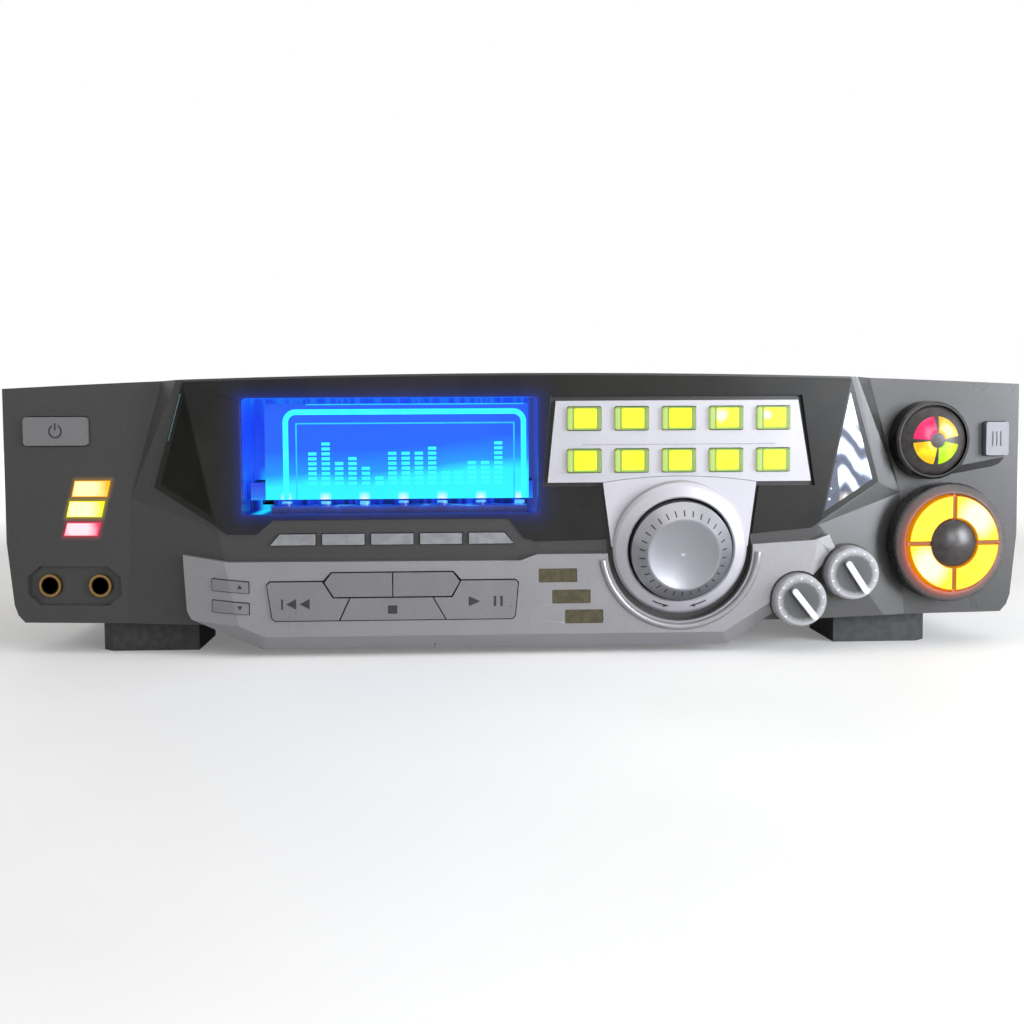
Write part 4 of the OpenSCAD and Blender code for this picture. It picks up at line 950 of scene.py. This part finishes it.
def pods():
    """The large pod's lit pads and the small pod's four coloured arcs."""
    place = on_wing(*BIG_POD)
    spots = {1: (10.5, 11.0), 3: (-11.5, -10.0)}
    for i in range(1, 5):
        wear(f"pad_segment_{i}", pad_light(f"pad_segment_{i}_light", place, spots.get(i)))
    wear("large_pod_housing", pod_ring())
    wear("small_pod_housing", small_pod())
    arcs = (("upper_left", -86, -6, (0.75, 0.01, 0.1), (0.8, 0.05, 0.2)),
            ("upper_right", 6, 80, (1.0, 0.42, 0.03), (1.0, 0.8, 0.22)),
            ("lower_right", 100, 174, (0.3, 0.68, 0.0), (0.75, 0.95, 0.02)),
            ("lower_left", 186, 264, (1.0, 0.4, 0.0), (1.0, 1.0, 0.0)))
    for name, start, end, edge, middle in arcs:
        arc_lamp(name, start, end, lit(f"arc_{name}", edge, middle, 0.97, 0.15))


def pad_light(name, place, spot):
    """Lit yellow pad with an orange edge; white-hot round spot, where one is given."""
    mat = shader(name, (0.3, 0.2, 0.0), 0.25, 0.0, 0.0, 0.4)
    patches = noise(mat, 160.0, 2.0)
    shade = ramp(mat, patches, [(0.35, (1.0, 0.88, 0.0)), (0.75, (1.0, 0.97, 0.03))])
    if spot:
        near = distance_to(mat, place @ Vector((spot[0], -PAD_FRONT, spot[1])))
        shade = mix(mat, span(mat, near, 0.0045, 0.0105, 1.0, 0.0), shade, (1.0, 1.0, 0.8))
    return glow(mat, mix(mat, pad_edge(mat, place), shade, (0.5, 0.16, 0.0)), 0.98)


def pad_edge(mat, place):
    """Share of the unlit, orange edge of the large pod's pads: 1 at their outlines."""
    across = maths(mat, "ABSOLUTE", along(mat, place, (1, 0, 0)))
    upright = maths(mat, "ABSOLUTE", along(mat, place, (0, 0, 1)))
    radius = off_axis(mat, place)
    cross = span(mat, maths(mat, "MINIMUM", across, upright), 0.95, 1.5, 1.0, 0.0)
    ring = maths(mat, "ABSOLUTE", maths(mat, "SUBTRACT", radius, (PAD_R[0] + PAD_R[1]) / 2))
    half = (PAD_R[1] - PAD_R[0]) / 2
    rim = span(mat, ring, half - 0.7, half - 0.1)
    return maths(mat, "MAXIMUM", cross, rim)


def arc_lamp(name, start, end, mat):
    """One lit arc that lies on the small pod's dome, from angle start to end."""
    rings, steps = (3.3, 5.1, 6.9, 8.7, 10.5), 12
    row, count = steps + 1, len(rings)
    layer = row * count
    points, faces = [], []
    for lift in (0.05, -0.25):
        for r in rings:
            height = math.sqrt(DOME_BALL_R ** 2 - r ** 2) + DOME_TOP - DOME_BALL_R + lift
            for k in range(row):
                a = math.radians(start + (end - start) * k / steps)
                points.append((r * math.sin(a), -height, r * math.cos(a)))
    for r in range(count - 1):
        for k in range(steps):
            quad = (r * row + k, r * row + k + 1, (r + 1) * row + k + 1, (r + 1) * row + k)
            faces.append(quad)
            faces.append(tuple(layer + q for q in reversed(quad)))
    rim = list(range(row)) + [r * row + steps for r in range(1, count)]
    rim += [(count - 1) * row + k for k in reversed(range(steps))]
    rim += [r * row for r in reversed(range(1, count - 1))]
    for a, b in zip(rim, rim[1:] + rim[:1]):
        faces.append((a, layer + a, layer + b, b))
    mesh_piece(f"arc_lamp_{name}", points, faces, on_wing(*SMALL_POD), mat, "small_pad_dome",
               smooth=True)


def facet_y(x, z):
    """Depth, in millimetres, of the cover's bent end at x, z."""
    low = Vector(FACET_FOLD[1])
    fold = Vector(FACET_FOLD[0]) - low

    def off(point):
        return fold.cross(Vector(point) - low)

    return FACET_DEPTH * off((x, z)) / off(FACET_TIP) - COVER_PROUD


def inset(corners, gaps):
    """Triangle moved inwards by gaps[i] on the side from corner i to corner i + 1."""
    sides = []
    for i in range(3):
        a, b, c = (Vector(corners[(i + k) % 3]) for k in range(3))
        inwards = Vector((a.y - b.y, b.x - a.x)).normalized()
        if inwards.dot(c - a) < 0:
            inwards = -inwards
        sides.append(((a + inwards * gaps[i]).to_3d(), (b + inwards * gaps[i]).to_3d()))
    return [intersect_line_line(*sides[i - 1], *sides[i])[0] for i in range(3)]


def facet_piece(name, outline, side, lift, mat):
    """Outline laid on the cover's bent end; side is 1 on the right and -1 on the left."""
    n = len(outline)
    ring = outline if side > 0 else outline[::-1]
    points = [(side * x, facet_y(x, z) - lift, z) for x, z in ring]
    points += [(side * x, facet_y(x, z) + 0.25, z) for x, z in ring]
    faces = [list(range(n)), [n + i for i in reversed(range(n))]]
    mesh_piece(name, points, faces + walls(0, n), FRONT, mat, "console")


def facets():
    """Films on the cover's bent ends: two pale dots on the right one, a thin painted highlight along
    one edge of the left one.
    """
    film = [(p.x, p.y) for p in inset(FACET, (2.5, 2.9, 0.35))]
    facet_piece("film_right", film, 1, 0.08, LOOKS["film_right"])
    facet_piece("film_left", film, -1, 0.08, LOOKS["film_left"])
    for i, (x, z, r) in enumerate(((135.0, 70.9, 0.45), (134.3, 66.3, 0.6)), 1):
        facet_piece(f"signal_dot_{i}", disc(x, z, r, 14), 1, 0.14, LOOKS["dot"])
    # Painted highlight: a thin teal line along one edge of the left film
    top, tip = (p.to_2d() for p in inset(FACET, (0.5, 2.4, 0.35))[:2])
    run = (tip - top).normalized()
    start, end = top + 3.3 * run, top + 24.2 * run
    width = 0.495 * Vector((run.y, -run.x))
    line = [tuple(point) for point in (start, end, end + width, start + width)]
    facet_piece("painted_highlight_left", line, -1, 0.1, LOOKS["teal"])


def ring_arrows():
    """Two thin arrows low on the dial's ring, one each way round."""
    ring_r, ring_width, ring_foot, ring_rise = 27.9, 4.3, 2.2, 1.8
    points, faces = [], []
    for way in (-1, 1):
        line = arc_band(0, 0, 25.25, 25.8, 180 - 12 * way, 180 - 27 * way, 10)
        barb = []
        for r, turn in ((25.5, 10), (26.7, 16), (25.4, 15)):
            angle = math.radians(180 - turn * way)
            barb.append((r * math.sin(angle), r * math.cos(angle)))
        for shape in (line, barb):
            start, n = len(points), len(shape)
            for lift in (0.2, -0.5):
                for x, z in shape:
                    inwards = (ring_r - math.hypot(x, z)) / ring_width
                    points.append((x, z, ring_foot + ring_rise * inwards + lift))
            faces.append([start + i for i in range(n)])
            faces.append([start + n + i for i in reversed(range(n))])
            faces += walls(start, n)
    mesh_piece("ring_arrows", points, faces, on_dial(), LOOKS["ink"], "console")


def camera():
    """The photograph's viewpoint, fitted to the object's own edges."""
    spot = Vector((-0.0294, -0.7533, 0.1023))
    yaw, pitch, roll = (math.radians(a) for a in (2.44, 3.87, -0.34))
    focal_px, picture_px = 1388.3, 1024
    level = math.cos(pitch)
    ahead = Vector((math.sin(yaw) * level, math.cos(yaw) * level, -math.sin(pitch)))
    right = Vector((math.cos(yaw), -math.sin(yaw), 0))
    up = right.cross(ahead)
    side = math.cos(roll) * right + math.sin(roll) * up
    top = -math.sin(roll) * right + math.cos(roll) * up
    data = bpy.data.cameras.new("camera")
    data.sensor_width = 36
    data.lens = focal_px / picture_px * data.sensor_width
    data.clip_start = 0.01
    holder = bpy.data.objects.new("camera", data)
    turn = Matrix((side, top, -ahead)).transposed().to_4x4()
    holder.matrix_world = Matrix.Translation(spot) @ turn
    bpy.context.scene.collection.objects.link(holder)
    bpy.context.scene.camera = holder


def area_light(name, place, target, size, power, color):
    data = bpy.data.lights.new(name, "AREA")
    data.shape = "RECTANGLE"
    data.size, data.size_y = size
    data.energy = power
    data.color = color
    holder = bpy.data.objects.new(name, data)
    way = Vector(target) - Vector(place)
    holder.matrix_world = Matrix.Translation(place) @ way.to_track_quat("-Z", "Y").to_matrix().to_4x4()
    bpy.context.scene.collection.objects.link(holder)


def lights():
    """Cool windows to the right, as in the photograph, and soft light from above."""
    cool = (0.88, 0.93, 1.0)
    pale_blue = (0.92, 0.95, 1.0)
    neutral = (1.0, 0.98, 0.95)
    warm = (1.0, 0.97, 0.93)
    area_light("window_light", (0.86, -0.66, 0.24), (0.12, -0.1, 0.06), (0.4, 0.42), 10.5, cool)
    area_light("second_window", (0.475, -1.0, 0.26), (0.13, -0.1, 0.06), (0.34, 0.4), 3.2, pale_blue)
    area_light("ceiling_light", (0.1, -0.5, 1.5), (0, 0, 0), (2.0, 1.4), 9, neutral)
    area_light("fill_light", (-1.2, -1.4, 0.6), (-0.1, 0, 0.05), (1.2, 0.9), 0.8, warm)


def pale_floor():
    """Floor that looks whiter with its distance, so that it runs into the background."""
    size = 4.0
    mesh = bpy.data.meshes.new("floor")
    corners = [(-size, -size, 0), (size, -size, 0), (size, size, 0), (-size, size, 0)]
    mesh.from_pydata(corners, [], [(0, 1, 2, 3)])
    floor = bpy.data.objects.new("floor", mesh)
    bpy.context.scene.collection.objects.link(floor)
    mat = shader("pale_floor", (0.86, 0.85, 0.84), 0.6)
    mottle(mat, (0.82, 0.81, 0.8), (0.88, 0.87, 0.86), 6.0)
    paths = add(mat, "ShaderNodeLightPath")
    principled(mat).inputs["Emission Color"].default_value = (1, 1, 1, 1)
    far = span(mat, distance_to(mat, (0, 0, 0)), 0.5, 1.3, 0.18, 0.95)
    seen = maths(mat, "MULTIPLY", paths.outputs["Is Camera Ray"], far)
    link(mat, seen, principled(mat).inputs["Emission Strength"])
    floor.data.materials.append(mat)


def background():
    """White where it is seen, also through glass or mirrored, and dimmer as a light."""
    world = bpy.data.worlds.new("studio")
    bpy.context.scene.world = world
    world.use_nodes = True
    paths = add(world, "ShaderNodeLightPath").outputs
    plain = maths(world, "MAXIMUM", paths["Is Camera Ray"], paths["Is Transmission Ray"])
    seen = maths(world, "MAXIMUM", plain, paths["Is Glossy Ray"])
    ambient, white = 0.24, 1.0
    sky = world.node_tree.nodes["Background"]
    sky.inputs["Color"].default_value = (1, 1, 1, 1)
    link(world, span(world, seen, 0.0, 1.0, ambient, white), sky.inputs["Strength"])


camera()
lights()
pale_floor()
background()
lamp_cores()
panel_rule()
key_symbols()
dial_ticks()
knob_dots()
etched_plate()
wing_lamps()
pods()
facets()
ring_arrows()
for node, width in EDGES.items():
    round_edges(node, width)

bpy.context.scene.view_settings.view_transform = "Standard"
